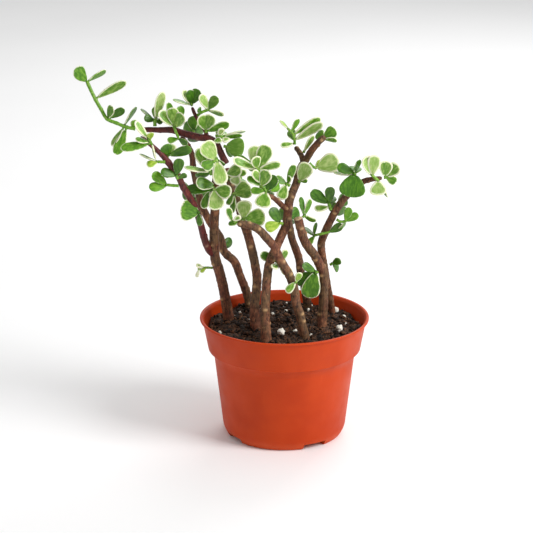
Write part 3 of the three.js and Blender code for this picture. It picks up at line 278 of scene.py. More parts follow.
SHOOTS: tuple[Shoot, ...] = (
    Shoot(
        "far_tip_shoot", 1.1, 25,
        (
            (-88, -1, 190), (-93, -1, 191), (-99, 0, 193.5), (-104.5, 1, 196), (-108, 2, 202),
            (-111, 3, 207.5), (-115, 5, 216.5), (-116, 6, 219),
        ),
        (
            (-116, 6, 218.5, -123, 3, 226.5, 8.5, 20, G),
            (-115.5, 6, 218.5, -105, 9, 226, 6, 72, G),
            (-110.5, 3, 208.5, -93.5, 1, 220, 7.5, 52, V),
            (-104, 1, 196.5, -101, -3, 204, 6, -30, G),
            (-103, 2, 196.5, -94.5, 3, 202.5, 5.5, 30, D),
            (-94.5, -1, 192, -88, 0, 203.8, 5.5, 74, D),
            (-95, -1, 190.5, -102, -2, 179.3, 6, 48, V),
            (-93.5, -2, 190, -99.5, -5, 174.3, 7, 10, G),
            (-89.5, 0, 190, -88.3, -3, 196, 4.5, 20, G),
        ),
    ),
    Shoot(
        "left_branch_knot_leaves", 1.1, 21,
        ((-76.5, 3, 191.8), (-76.5, 3, 196)),
        (
            (-76.5, 3, 195, -83, 1, 196.8, 4.8, 20, D), (-77, 4, 195.5, -85, 5, 201.8, 4.5, 72, D),
            (-76, 3, 195.5, -72.3, 1, 212.8, 6.5, 25, P), (-76, 4, 195, -71.5, 8, 195, 5, 40, D),
            (-75.5, 4, 195.5, -76, 10, 204, 6, 150, G),
        ),
    ),
    Shoot(
        "low_branch_end_leaves", 0.9, -26,
        ((-80.5, 0.5, 184.5), (-78.8, 0.3, 181)),
        (
            (-79.5, 0, 181, -97, -2, 178.2, 6, 12, G), (-78.5, 0, 181, -76, -1, 171.5, 4.5, 76, G),
            (-79, 0, 184, -79.5, -2, 188, 4.5, 10, Y), (-80.5, 0.5, 184, -88.5, 0, 194.5, 5, 20, V),
            (-80, 0.5, 182, -88.5, -2, 183.5, 4.5, 40, G),
        ),
    ),
    Shoot(
        "low_branch_knot_leaves", 0.9, -22,
        ((-70.8, -0.5, 169.8), (-75.5, -1, 170)),
        (
            (-75, -1, 170, -81.8, -3, 167.8, 4.6, 20, Y),
            (-75.5, -1, 170.3, -86.3, 0, 173.8, 3.6, 80, G),
        ),
    ),
    Shoot(
        "low_branch_fan", 0.9, -22,
        ((-69.8, 4.3, 171.6), (-69, 3, 174.5)),
        (
            (-69, 3, 174, -70.5, 0, 180.8, 7.5, 10, D), (-69, 3.5, 174, -65, 6, 180.5, 5.5, -20, P),
            (-68.5, 3, 173.8, -55, 1, 178.5, 6.2, 15, D), (-69, 4, 174, -73, 12, 176, 6.5, 150, D),
        ),
    ),
    Shoot(
        "low_branch_middle_leaves", 0.9, -20,
        ((-63.3, -0.6, 159.5), (-64.3, -0.9, 162)),
        (
            (-64.3, -0.9, 161.5, -73.6, -2, 164, 6.4, 20, D),
            (-64, -1, 161.5, -62.4, -3, 172.5, 6.4, 12, D),
            (-63.5, -0.8, 160, -58, -1, 162.5, 4, 45, D),
        ),
    ),
    Shoot(
        "low_branch_pair", 0.9, -18,
        ((-62.8, 0, 155.2), (-66, 0, 155.4), (-70, 0, 155.8)),
        (
            (-70, 0, 156, -78.5, -2, 163.2, 6.2, 10, B), (-70, 0, 155.3, -80.6, -2, 153.8, 6, 8, B),
        ),
    ),
    Shoot(
        "branch_rosette", 1.1, 18,
        ((-65, 1.8, 190.8), (-65, 1.2, 193)),
        (
            (-65.3, 1.2, 191.5, -74, -1, 200.8, 7, 25, V),
            (-65, 0.8, 192, -66.5, -3, 203.3, 7.5, 5, V),
            (-64.5, 1, 191, -59.3, -4, 199.5, 8, -15, V),
            (-64.8, 2, 192.5, -69.5, 4, 205.8, 6.5, 45, G),
            (-64.5, 2, 192.5, -60.5, 6, 203.8, 6.5, 40, G),
            (-64.5, 2.5, 192, -64, 12, 197, 7.5, 165, G),
            (-62.8, 1.1, 184, -69.3, -0.5, 182.4, 4.5, 30, G),
            (-62.6, 1.2, 184, -57, -0.5, 180.5, 5, 35, D),
        ),
        twigs=(
            ((-65, 1.4, 191.4), (-64.4, 0.6, 188.6), (-63.2, 0.6, 185.8), (-62.7, 1, 183.8)),
        ),
    ),
    Shoot(
        "left_stem_wilted_leaf", 0.7, 5,
        ((-43.2, 0, 104), (-46, -0.6, 104.2), (-49, -1, 104), (-51.6, -1.4, 103.4)),
        (
            (-48.4, -1, 104.2, -53.4, -2, 105.6, 3.2, 30, P),
            (-51.4, -1.4, 103.2, -52.6, -2.4, 98, 2.6, 30, P),
            (-47.4, -1, 103.8, -50.4, -2.4, 101, 2.6, 20, Y),
        ),
    ),
    Shoot(
        "branch_back_leaves", 1, 14,
        ((-54, 9.6, 187.5), (-53.5, 11, 189)),
        (
            (-53.5, 11, 188.5, -60, 19, 192, 8, 160, G),
            (-53.5, 11, 188.8, -47, 20, 190, 8, 200, D),
            (-53.5, 11, 189, -54.5, 17, 198, 7, 170, G),
            (-53.5, 11, 188, -54, 18, 181, 7.5, 180, D),
        ),
    ),
    Shoot(
        "upright_twig_shoot", 0.9, 17,
        ((-54.7, 8, 204.5), (-54.7, 8, 206)),
        (
            (-54.7, 8, 205, -56, 6, 213.6, 6.5, 15, D),
            (-54.7, 8, 205, -50.3, 7, 213.8, 6.8, -10, D),
            (-55, 8.5, 204.8, -60.5, 7, 213, 5.5, 40, P),
            (-54.8, 8, 204.6, -66, 6, 207.2, 5, 62, G), (-54.7, 9, 205, -54, 16, 209, 6.5, 165, D),
        ),
    ),
    Shoot(
        "upright_twig_side_leaves", 0.9, 16,
        ((-51.2, 5.6, 198.3), (-49, 5, 200), (-45, 5, 201.6)),
        (
            (-45, 5, 201.8, -49.7, 3, 211, 5.8, 15, P), (-45, 5, 201.8, -39.5, 3, 209.8, 6, -8, S),
            (-45, 4.8, 201, -35.5, 4, 199.3, 6, 66, V), (-49.5, 5, 199.8, -51, 2, 202.5, 4, 40, D),
            (-45.5, 6, 201.6, -44, 13, 205, 6.5, 160, G),
        ),
    ),
    Shoot(
        "branch_fan", 1, 12.5,
        ((-46.3, 4.8, 188), (-46.5, 4.2, 190.5)),
        (
            (-46.7, 4.2, 189.2, -49.3, 1, 198.8, 7.5, 12, V),
            (-46.3, 4.2, 189.2, -43.3, 1, 199, 8, -10, V),
            (-45.8, 4.4, 188.5, -32.3, 2, 193.5, 5.8, 22, G),
        ),
    ),
    Shoot(
        "branch_bend_leaves", 1, 11.5,
        ((-40.6, 5.8, 185.6), (-38.5, 5, 185.8), (-36.3, 4.5, 184.5)),
        (
            (-39, 4.6, 185.3, -39.5, 2, 181, 5.4, 25, V),
            (-38.8, 5, 185.5, -37, 3, 191, 4.5, 20, P),
            (-36.5, 4.5, 184.8, -33.5, 1, 182, 5, -20, P),
            (-36.4, 4.6, 185.5, -23.5, 5, 190.2, 5, 78, G),
            (-36.3, 5, 184.8, -25, 4, 186.8, 5, 50, G), (-38.5, 6, 185.8, -37, 14, 189, 7, 160, G),
        ),
    ),
    Shoot(
        "branch_round_leaf", 0.9, 8.5,
        ((-35.8, 6.4, 179.4), (-34.3, 5.5, 179.2)),
        (
            (-35, 5.5, 179.3, -23.8, 1, 178, 12, 4, S), (-35, 6, 179, -30, 13, 175, 7, 160, D),
        ),
    ),
    Shoot(
        "front_left_middle_leaves", 1.2, -13,
        ((-42, 2.8, 152.3), (-42.2, 1.2, 153.8)),
        (
            (-41.4, 1.2, 155.2, -53, -2, 157, 8, 14, E),
            (-42.4, 1.6, 153, -58.6, 1, 152.6, 6.5, 20, D),
            (-41.8, 0.8, 153.4, -31.2, -5, 150.2, 8.6, 5, V),
            (-42, 0.6, 153, -39.6, -5, 140.3, 9.8, 6, P),
            (-44.6, 1.2, 152.4, -48.4, 0, 141.2, 5.8, 24, E),
        ),
    ),
    Shoot(
        "big_left_round_leaf", 0.9, -12,
        ((-51.6, 0, 138.2), (-51, -1.2, 139.2)),
        (
            (-51, -1, 138.6, -62.3, -4, 141, 12.8, 4, E),
            (-51.3, -0.8, 138.4, -50, -2, 130.5, 5, 45, D),
        ),
    ),
    Shoot(
        "left_back_stem_leaves", 1, 12,
        ((-51, 19.8, 146), (-52.5, 21, 147.5)),
        (
            (-52.5, 21, 147, -61, 26, 151, 8.5, 150, D),
            (-52.3, 21.4, 147.5, -47, 29, 154, 8, 190, D),
            (-52.5, 21, 147, -56, 28, 140, 7.5, 170, D),
            (-52.5, 20.6, 147.5, -60, 20, 157, 7, 90, D),
        ),
    ),
    Shoot(
        "left_back_stem_low_leaves", 0.9, 9,
        ((-37.5, 23.2, 115.5), (-38, 24.6, 116.5)),
        (
            (-38, 24.5, 116.3, -45.5, 28, 121, 6.5, 140, D),
            (-38, 24.6, 116.3, -31, 31, 121.5, 6.5, 200, D),
        ),
    ),
    Shoot(
        "front_left_top_leaves", 1.1, -17,
        ((-43.4, 4, 162.3), (-44, 3.2, 164.5), (-42.5, 3.8, 169.5), (-40.2, 4.8, 172)),
        (
            (-40.6, 4.6, 171.2, -48.6, -1, 182.2, 10.4, 6, P),
            (-40.2, 4.4, 171, -37.3, -3, 155.3, 9, 4, P),
            (-41.6, 3.8, 170, -49, -1, 165.8, 7.4, 10, G),
            (-40.5, 6, 171.5, -47, 13, 172, 7, 150, G),
            (-40, 6, 171.5, -38.5, 15, 166, 7.5, 190, D),
            (-44, 3, 164, -59.8, 1, 165.8, 5.5, 50, V),
            (-46, 4, 165.2, -52.2, 5, 178, 7.2, 15, V), (-44.2, 4.4, 164, -52, 9, 159.5, 7, 130, D),
        ),
    ),
    Shoot(
        "centre_rosette", 1.2, -9,
        ((-13.7, -5.2, 154), (-14.6, -5.6, 160), (-16, -6, 166)),
        (
            (-16.4, -6, 165.6, -31, -9, 171.3, 6, 14, V),
            (-16.4, -5.6, 165.8, -18, -2, 180, 8.5, -8, P),
            (-15.6, -6.2, 165.8, -10, -8, 180.6, 9.5, 10, V),
            (-15.6, -6.4, 165.5, -2, -9, 169, 5.4, 20, V),
            (-16.3, -6.8, 165.8, -18, -11, 173.6, 6.6, 20, V),
            (-14.4, -6, 157, -19, -9, 164.8, 5.2, 14, V),
            (-13.8, -6.4, 155, -10, -10, 165, 8, -6, V),
            (-13.7, -5.2, 155, -22.5, -6, 160.3, 4.8, 35, G),
            (-15.8, -5.2, 165.8, -14, 3, 172, 8, 175, G),
            (-16, -5.4, 165.5, -22, 4, 169, 7.5, 160, G),
            (-10.8, -7.8, 152, -5.2, -8, 161.5, 7.5, -18, D),
            (-11.3, -8, 151.8, -20.3, -8, 152, 5, 20, G),
            (-11.2, -8, 151.6, -13.3, -11, 141.6, 10, 4, V),
            (-9.5, -2.2, 152.4, -3, 5, 157, 8, 200, G), (-9.7, -2, 152.6, -14, 7, 155.5, 8, 165, G),
            (-9.7, -2.2, 152, -10, 8, 148, 7.5, 180, D),
        ),
        twigs=(
            ((-13.7, -5.4, 154.6), (-12, -7.6, 153.2), (-11, -8, 152)),
            ((-13.7, -5, 154.6), (-11.5, -3, 154), (-9.5, -2, 152.6)),
            ((-15.6, -5.8, 164.5), (-20, -3, 169), (-25, 0, 173), (-28, 2, 174.2)),
        ),
    ),
    Shoot(
        "right_branch_pale_leaves", 0.9, -13,
        ((55.4, -3.6, 158.4), (53.4, -4, 160.2), (51.4, -3.6, 162.2)),
        (
            (51.2, -3.4, 161.6, 47.6, -6, 173.8, 7.6, 10, P),
            (51.8, -3.8, 161.6, 53.8, -7, 174.4, 8, -4, P),
            (51.6, -3, 162, 51, 5, 170, 7.5, 170, G),
            (55.3, -3.6, 158.8, 55.8, -6, 149.2, 10, 4, P),
            (55.6, -3, 158.4, 61.6, -1, 148.4, 4.4, 70, G),
        ),
    ),
    Shoot(
        "right_stem_low_leaves", 0.8, -3.5,
        ((27, 4, 126.6), (22, 3.4, 125.4), (18.6, 5, 124.6), (17.6, 7, 124.4)),
        (
            (26.6, 4, 126.4, 34.6, 3, 131.2, 5.4, 16, D),
            (17.6, 7, 124.4, 18, 6, 132.6, 3.6, 45, D),
            (17.8, 6.6, 124, 14.4, 6, 118.6, 4.4, 30, G), (17.6, 7, 124.4, 11, 12, 129, 5.5, 60, D),
        ),
    ),
    Shoot(
        "crown_upper_leaves", 1.1, 4,
        ((-32.5, 5.2, 159.6), (-32.2, 3.4, 161)),
        (
            (-34.6, 3.4, 162.4, -25.2, -2, 165.8, 8, -6, V),
            (-32.8, 3, 158.6, -25.2, -3, 158.8, 7, 8, P), (-32.3, 4, 161, -23, 5, 165, 6, 50, V),
        ),
    ),
    Shoot(
        "crown_back_leaves", 1.1, 4,
        ((-31.8, 10.8, 158), (-31.5, 12.4, 159)),
        (
            (-31.5, 12.2, 159, -25, 20, 163, 8.5, 200, G),
            (-31.6, 12.2, 159, -36, 21, 162, 8.5, 160, D),
            (-31.5, 12.2, 158.6, -28, 22, 154, 8, 190, D),
            (-31.4, 11.8, 159, -22, 15, 157, 7.5, 130, G),
        ),
    ),
    Shoot(
        "crown_middle_leaves", 1.2, 2.5,
        ((-29.6, 2.8, 149.4), (-30.2, 0.6, 150.4)),
        (
            (-30, 0.4, 150.3, -19.6, -6, 154.3, 11, 4, V),
            (-30.4, 0.8, 150, -30.4, -4, 138.3, 5.5, 44, G),
            (-30.6, 1.2, 150.2, -33.6, -3, 143, 4.6, 40, G),
        ),
    ),
    Shoot(
        "crown_low_leaves", 1.2, 0,
        ((-24.6, -0.2, 134), (-24, -2.6, 135.2)),
        (
            (-24.2, -2.8, 135, -24.4, -8, 146.8, 9.4, 4, P),
            (-23.8, -3, 135.2, -10.8, -9, 135.6, 11, 4, V),
            (-24.3, -2.4, 134.6, -33.5, -4, 130.8, 5, 40, G),
        ),
    ),
    Shoot(
        "leaning_stem_tip_leaves", 1, -7,
        ((-29.2, -17.6, 133), (-30.4, -18, 133.8)),
        (
            (-31.4, -18, 132.8, -34, -18, 142, 4.2, 14, E),
            (-30.6, -18, 133.4, -26.4, -20, 136.8, 3.6, 20, V),
        ),
    ),
    Shoot(
        "centre_stem_upper_leaves", 1, 5,
        ((2.6, -5.2, 155.6), (1.4, -6.6, 156.6)),
        (
            (1.6, -6.4, 156.6, 5.6, -8, 168.5, 4.8, 12, G),
            (1, -6.4, 156.4, -6, -6, 160.2, 5.4, 20, G),
            (1, -6.8, 156.4, -2.4, -10, 146.6, 7, 4, V),
            (2.2, -6.4, 156.2, 3.4, -8, 161.5, 3.4, -30, G),
        ),
    ),
    Shoot(
        "centre_pale_leaf", 1, 6.5,
        ((8.8, -2.6, 157.8), (9, -4, 158.4)),
        (
            (8.6, -3.8, 158, 14.4, -7, 169.6, 9.6, 4, P),
            (9.2, -3.6, 158, 13.6, -3, 158.6, 4, 60, G),
        ),
    ),
    Shoot(
        "centre_stem_side_leaves", 0.9, 0,
        ((-1.2, -10.2, 131.6), (-3, -11, 132.4)),
        (
            (-2.6, -10.8, 132.2, -8.3, -10, 141.6, 7, 18, D),
            (-2.6, -11.4, 132, -11.5, -14, 128.4, 7, 10, Y),
        ),
    ),
    Shoot(
        "fork_top_shoot", 0.85, 16,
        ((5.9, 2, 180.6), (5.6, 2, 184), (4, 2, 188), (1.6, 2, 190.2)),
        (
            (5.6, 2, 181, -2.7, 0, 179.6, 4.2, 22, V), (5, 2, 186.5, 21, 1, 197.2, 6.4, 44, V),
            (5.7, 1.8, 183, 22.3, -2, 194.3, 6.4, 30, P), (4, 2, 188.5, 8, 2, 196.4, 4.4, 40, G),
            (2, 2, 190, -3, 5, 195, 4.4, 60, Y), (5.6, 2.4, 183, 3, 10, 190, 6, 165, G),
        ),
    ),
    Shoot(
        "fork_crotch_leaf", 0.8, 13,
        ((11.2, -0.4, 175.6), (11.6, -0.4, 177)),
        ((11.3, -0.4, 176, 16.6, -3, 186.6, 4, 30, V),),
    ),
    Shoot(
        "fork_right_leaves", 0.9, 5.3,
        ((22.5, 4.6, 183.4), (23.2, 5.6, 184.4)),
        (
            (23, 5.4, 184, 30, 6, 189.8, 8, -10, G), (23, 5.2, 183.6, 31, 3, 183.8, 5.5, 66, G),
            (22.8, 5.6, 184, 19, 13, 188, 7, 165, G),
        ),
    ),
    Shoot(
        "round_pale_leaf", 0.8, 9.5,
        ((14.6, 0.8, 169.2), (17, 0, 166.8), (18.6, 0, 166)),
        (
            (18.4, 0, 166.2, 32.3, -3, 171.3, 12, 4, P), (18.2, 0, 166.4, 20.6, 0, 171.5, 3, 40, Y),
        ),
    ),
    Shoot(
        "right_big_leaf", 1, -13,
        ((42.4, -0.4, 156.6), (41.8, -1.8, 160), (41.4, -2, 163.4)),
        (
            (41.4, -2.2, 162.6, 39.6, -8, 148, 15.5, 4, D),
            (41.4, -2, 163, 43.6, -2, 171.6, 5.6, 50, D),
            (41.2, -1.4, 163, 31, 0, 166.6, 6.6, 18, D),
            (41.4, -1.2, 162, 28.8, 2, 162.4, 4.6, 62, V),
            (41.6, -1.2, 162.8, 42, 8, 168, 8, 175, D),
        ),
    ),
    Shoot(
        "right_tip_leaves", 0.9, -14,
        ((58.9, -1, 160.2), (60.6, -1, 160.6)),
        (
            (59.4, -1.2, 160.8, 60.2, -5, 170.8, 8, 6, V),
            (60.4, -1, 160.8, 67.6, -3, 168.4, 8, -6, V),
            (60, -1, 160.4, 66.4, -1, 157.6, 5.6, 14, G),
            (60.2, -0.6, 160.6, 64, 7, 165, 7, 190, G),
        ),
    ),
    Shoot(
        "right_stem_inner_leaves", 0.9, -8,
        ((27.6, 3.2, 140.6), (26.9, 2.6, 143), (26.4, 2.4, 145)),
        (
            (26, 2.4, 144.4, 15, 0, 151.8, 7.2, 12, D), (26.6, 2.2, 144.6, 27, -1, 155, 6.2, 8, D),
            (26.8, 2.6, 142, 17.6, 1, 140.6, 4.8, 24, V), (26.8, 3, 143.4, 27, 12, 150, 8, 175, D),
        ),
    ),
    Shoot(
        "right_stem_outer_leaves", 0.8, -8.5,
        ((31, 4.6, 134.3), (33.5, 4.4, 133), (36.4, 4.2, 133.4)),
        (
            (36.2, 4.2, 133.4, 38.8, 2, 142, 5, 8, B), (36.2, 4.2, 133.2, 44, 3, 137.8, 5, 10, B),
            (36, 4.4, 133, 34, 10, 128, 5.5, 120, G),
        ),
    ),
    Shoot(
        "right_stem_back_leaves", 0.9, -9.5,
        ((31.6, 7.8, 142.4), (31.8, 9.2, 143.6)),
        (
            (31.8, 9, 143.4, 37, 16, 148, 8, 195, D), (31.7, 9, 143.4, 25, 16, 142, 8, 165, G),
            (31.8, 9, 143.2, 35, 16, 137, 7.5, 180, D),
        ),
    ),
    Shoot(
        "right_stem_bud_leaves", 0.8, -2,
        ((27.4, 14, 106), (29, 13.6, 107)),
        (
            (28.6, 13.6, 106.8, 33.8, 12, 109.2, 5, 20, D),
            (28.8, 14, 106.8, 33, 19, 103, 5.5, 140, D),
        ),
    ),
    Shoot(
        "cut_stem_leaves", 0.8, -3,
        ((10.8, -9.4, 135.6), (12.2, -8.8, 137.6)),
        (
            (12, -8.8, 137, 15.2, -10, 147.6, 4.2, 30, G),
            (11.6, -9, 137, 8.9, -12, 148.6, 4, 40, D),
            (11.6, -9.2, 136.6, 18.5, -6, 133.5, 4.6, 50, G),
        ),
    ),
    Shoot(
        "centre_back_stem_leaves", 0.9, 14,
        ((2.4, 16.6, 134), (2.4, 18, 135.6)),
        (
            (2.4, 18, 135.4, 9, 24, 140, 8, 200, D), (2.4, 18, 135.4, -4, 25, 139, 8, 160, G),
            (2.4, 18, 135.4, 3, 25, 130, 7.5, 180, D),
        ),
    ),
    Shoot(
        "leaning_stem_low_leaves", 0.8, 0,
        ((6.6, -25.8, 94.5), (6.9, -26.4, 95.4)),
        (
            (6.6, -26.2, 95, 1.2, -28, 88.4, 5.2, 20, V),
            (7, -26.2, 95.2, 9.4, -28, 101.4, 4.6, 20, V),
        ),
    ),
    Shoot(
        "front_dark_leaf", 0.8, 0,
        ((19.9, -6.4, 101), (18.4, -7, 102)),
        (
            (18.6, -7, 101.6, 14.8, -9, 85, 11.2, 6, E), (18.6, -7, 102, 10.3, -9, 106, 5.4, 16, D),
            (18, -5.4, 101.4, 7.4, -3, 94.4, 7.6, 20, D),
        ),
    ),
    Shoot(
        "centre_stem_low_leaves", 0.8, 0,
        ((-4.3, -17.2, 106.6), (-3, -17.4, 107.4)),
        (
            (-3.4, -17.4, 107, -7.2, -25, 103.4, 5, 20, V),
            (-3.2, -16.2, 107, 3.4, -12, 100.6, 6.4, 24, E),
            (-3.2, -17.4, 107.2, 1.5, -15, 115.5, 5, 24, V),
            (-4.6, -12.4, 108, -14.6, -11, 112.6, 6, 16, E),
        ),
    ),
)


# Smaller perlite grains: (across, height on the upright plane, size).
PERLITE_SPECKS: tuple[Row, ...] = (
    (6.5, 62, 2.8), (16, 60, 2.2), (36, 72, 3), (14.5, 72.5, 2.4), (16, 76, 2.6), (1, 74, 2.2),
    (-7, 70.5, 2.4), (-39, 63, 2.6), (37, 65.5, 2), (31, 77.5, 4.2), (-26, 67, 1.8),
)


@dataclass
class Draft:
    """Points, faces and painted values of a mesh while it is made, in millimetres."""

    points: list[Vector] = field(default_factory=list)
    faces: list[tuple[int, ...]] = field(default_factory=list)
    finishes: list[int] = field(default_factory=list)
    paint: dict[str, list] = field(default_factory=dict)

    def add(self, point: Vector, **values: object) -> int:
        """Adds a point.

        Args:
            point: the place in millimetres.
            values: painted value of the point by the name of its paint.

        Returns:
            The point's number.
        """
        self.points.append(point)
        for name, value in values.items():
            self.paint.setdefault(name, []).append(value)
        return len(self.points) - 1

    def face(self, corners: tuple[int, ...], finish: int = 0) -> None:
        """Adds a face of the given finish."""
        self.faces.append(corners)
        self.finishes.append(finish)

    def skin(self, rings: list[list[int]], finish: int = 0) -> None:
        """Joins rings of equal count with quads.

        Args:
            rings: point numbers of each ring.
            finish: number of the finish.
        """
        for low, high in zip(rings, rings[1:]):
            count = len(low)
            for side in range(count):
                after = (side + 1) % count
                self.face((low[side], low[after], high[after], high[side]), finish)

    def fan(self, ring: list[int], apex: int, finish: int = 0) -> None:
        """Closes a ring onto a point.

        Args:
            ring: point numbers of the ring, counter-clockwise as seen from the apex.
            apex: number of the closing point.
            finish: number of the finish.
        """
        for side, corner in enumerate(ring):
            self.face((corner, ring[(side + 1) % len(ring)], apex), finish)

    def build(self, name: str, materials: list[bpy.types.Material]) -> bpy.types.Object:
        """Makes the piece in metres.

        Args:
            name: the piece's name.
            materials: materials by number of finish.

        Returns:
            The new object, linked to the scene.
        """
        mesh = bpy.data.meshes.new(name)
        mesh.from_pydata([point * MM for point in self.points], [], self.faces)
        for material in materials:
            mesh.materials.append(material)
        mesh.polygons.foreach_set("material_index", self.finishes)
        mesh.polygons.foreach_set("use_smooth", [True] * len(self.faces))
        for paint_name, values in self.paint.items():
            self._paint(mesh, paint_name, values)
        mesh.update()
        return linked(name, mesh)

    def _paint(self, mesh: bpy.types.Mesh, name: str, values: list) -> None:
        """Writes one painted value as an attribute of the mesh's points."""
        if isinstance(values[0], (int, float)):
            layer = mesh.attributes.new(name, "FLOAT", "POINT")
            layer.data.foreach_set("value", values)
            return
        layer = mesh.attributes.new(name, "FLOAT_VECTOR", "POINT")
        layer.data.foreach_set("vector", [channel for value in values for channel in value])


class Bench:
    """Shader nodes of one material."""

    def __init__(self, name: str) -> None:
        """Starts a material that has only its surface shader."""
        self.material = bpy.data.materials.new(name)
        self.material.use_nodes = True
        self.tree = self.material.node_tree
        self.shader = self.tree.nodes["Principled BSDF"]

    def node(self, kind: str, **inputs: object) -> bpy.types.Node:
        """Adds a node.

        Args:
            kind: the node's type name without its prefix.
            inputs: socket values, or sockets to link, by socket name with _ for spaces.

        Returns:
            The node.
        """
        made = self.tree.nodes.new(f"ShaderNode{kind}")
        for name, value in inputs.items():
            self.wire(made.inputs[name.replace("_", " ")], value)
        return made

    def wire(self, socket: bpy.types.NodeSocket, value: object) -> None:
        """Sets a socket, or links it when the value is a socket itself."""
        if isinstance(value, bpy.types.NodeSocket):
            self.tree.links.new(value, socket)
        else:
            socket.default_value = value

    def painted(self, name: str) -> bpy.types.Node:
        """Node that reads a painted value."""
        made = self.node("Attribute")
        made.attribute_name = name
        return made

    def lumps(self, size: float, detail: float = 4.0, rough: float = 0.55,
              where: bpy.types.NodeSocket | None = None) -> bpy.types.NodeSocket:
        """Noise over the piece.

        Args:
            size: width of the lumps in millimetres.
            detail: number of finer layers.
            rough: strength of the finer layers.
            where: place to read it at, in metres, and the piece's own place if not given.

        Returns:
            The noise, from 0 to 1.
        """
        spot = where or self.node("TexCoord").outputs["Object"]
        made = self.node("TexNoise", Vector=spot, Scale=1 / (size * MM), Detail=detail,
                         Roughness=rough)
        return made.outputs["Fac"]

    def stretched(self, scale: Colour, where: bpy.types.NodeSocket | None = None
                  ) -> bpy.types.NodeSocket:
        """Place that is scaled by another share along each axis."""
        spot = where or self.node("TexCoord").outputs["Object"]
        return self.node("Mapping", Vector=spot, Scale=scale).outputs["Vector"]

    def span(self, value: bpy.types.NodeSocket, low: float, high: float, start: float = 0.0,
             end: float = 1.0) -> bpy.types.NodeSocket:
        """Smooth step of a value.

        Args:
            value: the value to read.
            low: value that gives the start.
            high: value that gives the end.
            start: first result.
            end: last result.

        Returns:
            The result.
        """
        made = self.tree.nodes.new("ShaderNodeMapRange")
        made.interpolation_type = "SMOOTHSTEP"
        numbers = {"Value": value, "From Min": low, "From Max": high, "To Min": start,
                   "To Max": end}
        for name, number in numbers.items():
            self.wire(made.inputs[name], number)
        return made.outputs["Result"]

    def sum(self, kind: str, first: object, second: object) -> bpy.types.NodeSocket:
        """Arithmetic of two values, of the kind that the Math node names."""
        made = self.tree.nodes.new("ShaderNodeMath")
        made.operation = kind
        self.wire(made.inputs[0], first)
        self.wire(made.inputs[1], second)
        return made.outputs[0]

    def blend(self, share: object, first: object, second: object,
              kind: str = "MIX") -> bpy.types.NodeSocket:
        """Mix of two colours.

        Args:
            share: how much of the second is used.
            first: first colour or socket.
            second: second colour or socket.
            kind: blending of the Mix node.

        Returns:
            The colour.
        """
        made = self.tree.nodes.new("ShaderNodeMix")
        made.data_type = "RGBA"
        made.blend_type = kind
        self.wire(made.inputs["Factor"], share)
        for socket, colour in ((made.inputs[6], first), (made.inputs[7], second)):
            self.wire(socket, (*colour, 1.0) if isinstance(colour, tuple) else colour)
        return made.outputs[2]

    def relief(self, height: bpy.types.NodeSocket, depth: float, strength: float = 1.0) -> None:
        """Gives the surface a fine relief.

        Args:
            height: the relief, from 0 to 1.
            depth: its depth in millimetres.
            strength: share of the relief that is used.
        """
        bump = self.node("Bump", Height=height, Distance=depth * MM, Strength=strength)
        self.wire(self.shader.inputs["Normal"], bump.outputs["Normal"])

    def finish(self, colour: bpy.types.NodeSocket, **sockets: object) -> bpy.types.Material:
        """Gives the surface its colour and its even values.

        Args:
            colour: the base colour.
            sockets: values of the shader's other sockets, by name with _ for spaces.

        Returns:
            The material.
        """
        self.wire(self.shader.inputs["Base Color"], colour)
        for name, value in sockets.items():
            self.wire(self.shader.inputs[name.replace("_", " ")], value)
        return self.material


@dataclass(frozen=True)
class PotPlastic:
    """Orange terracotta plastic, a little chalky and dusty, with painted light that makes it
    lighter at the foot.
    """

    body: Colour = linear(190, 60, 2)
    deep: Colour = linear(156, 38, 3)
    dust_and_foot_light: Colour = linear(206, 84, 34)
    roughness: float = 0.5

    def build(self) -> bpy.types.Material:
        """Makes the material."""
        bench = Bench("terracotta_plastic")
        colour = bench.blend(bench.span(bench.lumps(26, 3), 0.35, 0.7), self.body, self.deep)
        colour = bench.blend(0.35, self.body, colour)
        drawn = bench.lumps(2.2, 3, 0.6, bench.stretched((1, 1, 0.12)))
        colour = bench.blend(bench.span(drawn, 0.58, 0.85, 0, 0.14), colour, self.dust_and_foot_light)
        # Painted light: below about 8.5 mm the colour turns lighter, a painted band of the light
        # that the foot ring catches.
        height = bench.node("SeparateXYZ", Vector=bench.node("TexCoord").outputs["Object"])
        foot_light_height = bench.sum("ADD", height.outputs["Z"], bench.sum(
            "MULTIPLY", bench.lumps(9, 3), 0.004))
        colour = bench.blend(bench.span(foot_light_height, 0.0085, 0.0045, 0, 0.45), colour, self.dust_and_foot_light)
        specks = bench.span(bench.lumps(0.9, 2), 0.7, 0.76, 0, 0.35)
        colour = bench.blend(specks, colour, self.deep)
        bench.relief(bench.lumps(1.1, 4, 0.6), 0.05, 0.5)
        gloss = bench.span(bench.lumps(14, 4), 0.3, 0.7, self.roughness - 0.06,
                           self.roughness + 0.1)
        return bench.finish(colour, Roughness=gloss, Specular_IOR_Level=0.22,
                            Subsurface_Weight=0.06, Subsurface_Radius=(0.004, 0.0012, 0.0006),
                            Subsurface_Scale=0.6)


@dataclass(frozen=True)
class DarkMix:
    """Damp bark and fibre."""

    dark: Colour = linear(22, 14, 10)
    light: Colour = linear(108, 72, 48)

    def build(self) -> bpy.types.Material:
        """Makes the material."""
        bench = Bench("bark_mix")
        tint = bench.painted("tint").outputs["Fac"]
        grain = bench.lumps(1.2, 5, 0.65)
        share = bench.sum("MULTIPLY", tint, bench.span(grain, 0.42, 0.7, 0.05, 1.8))
        colour = bench.blend(share, self.dark, self.light)
        bench.relief(bench.lumps(0.5, 5, 0.7), 0.25, 0.8)
        return bench.finish(colour, Roughness=0.88, Specular_IOR_Level=0.3)


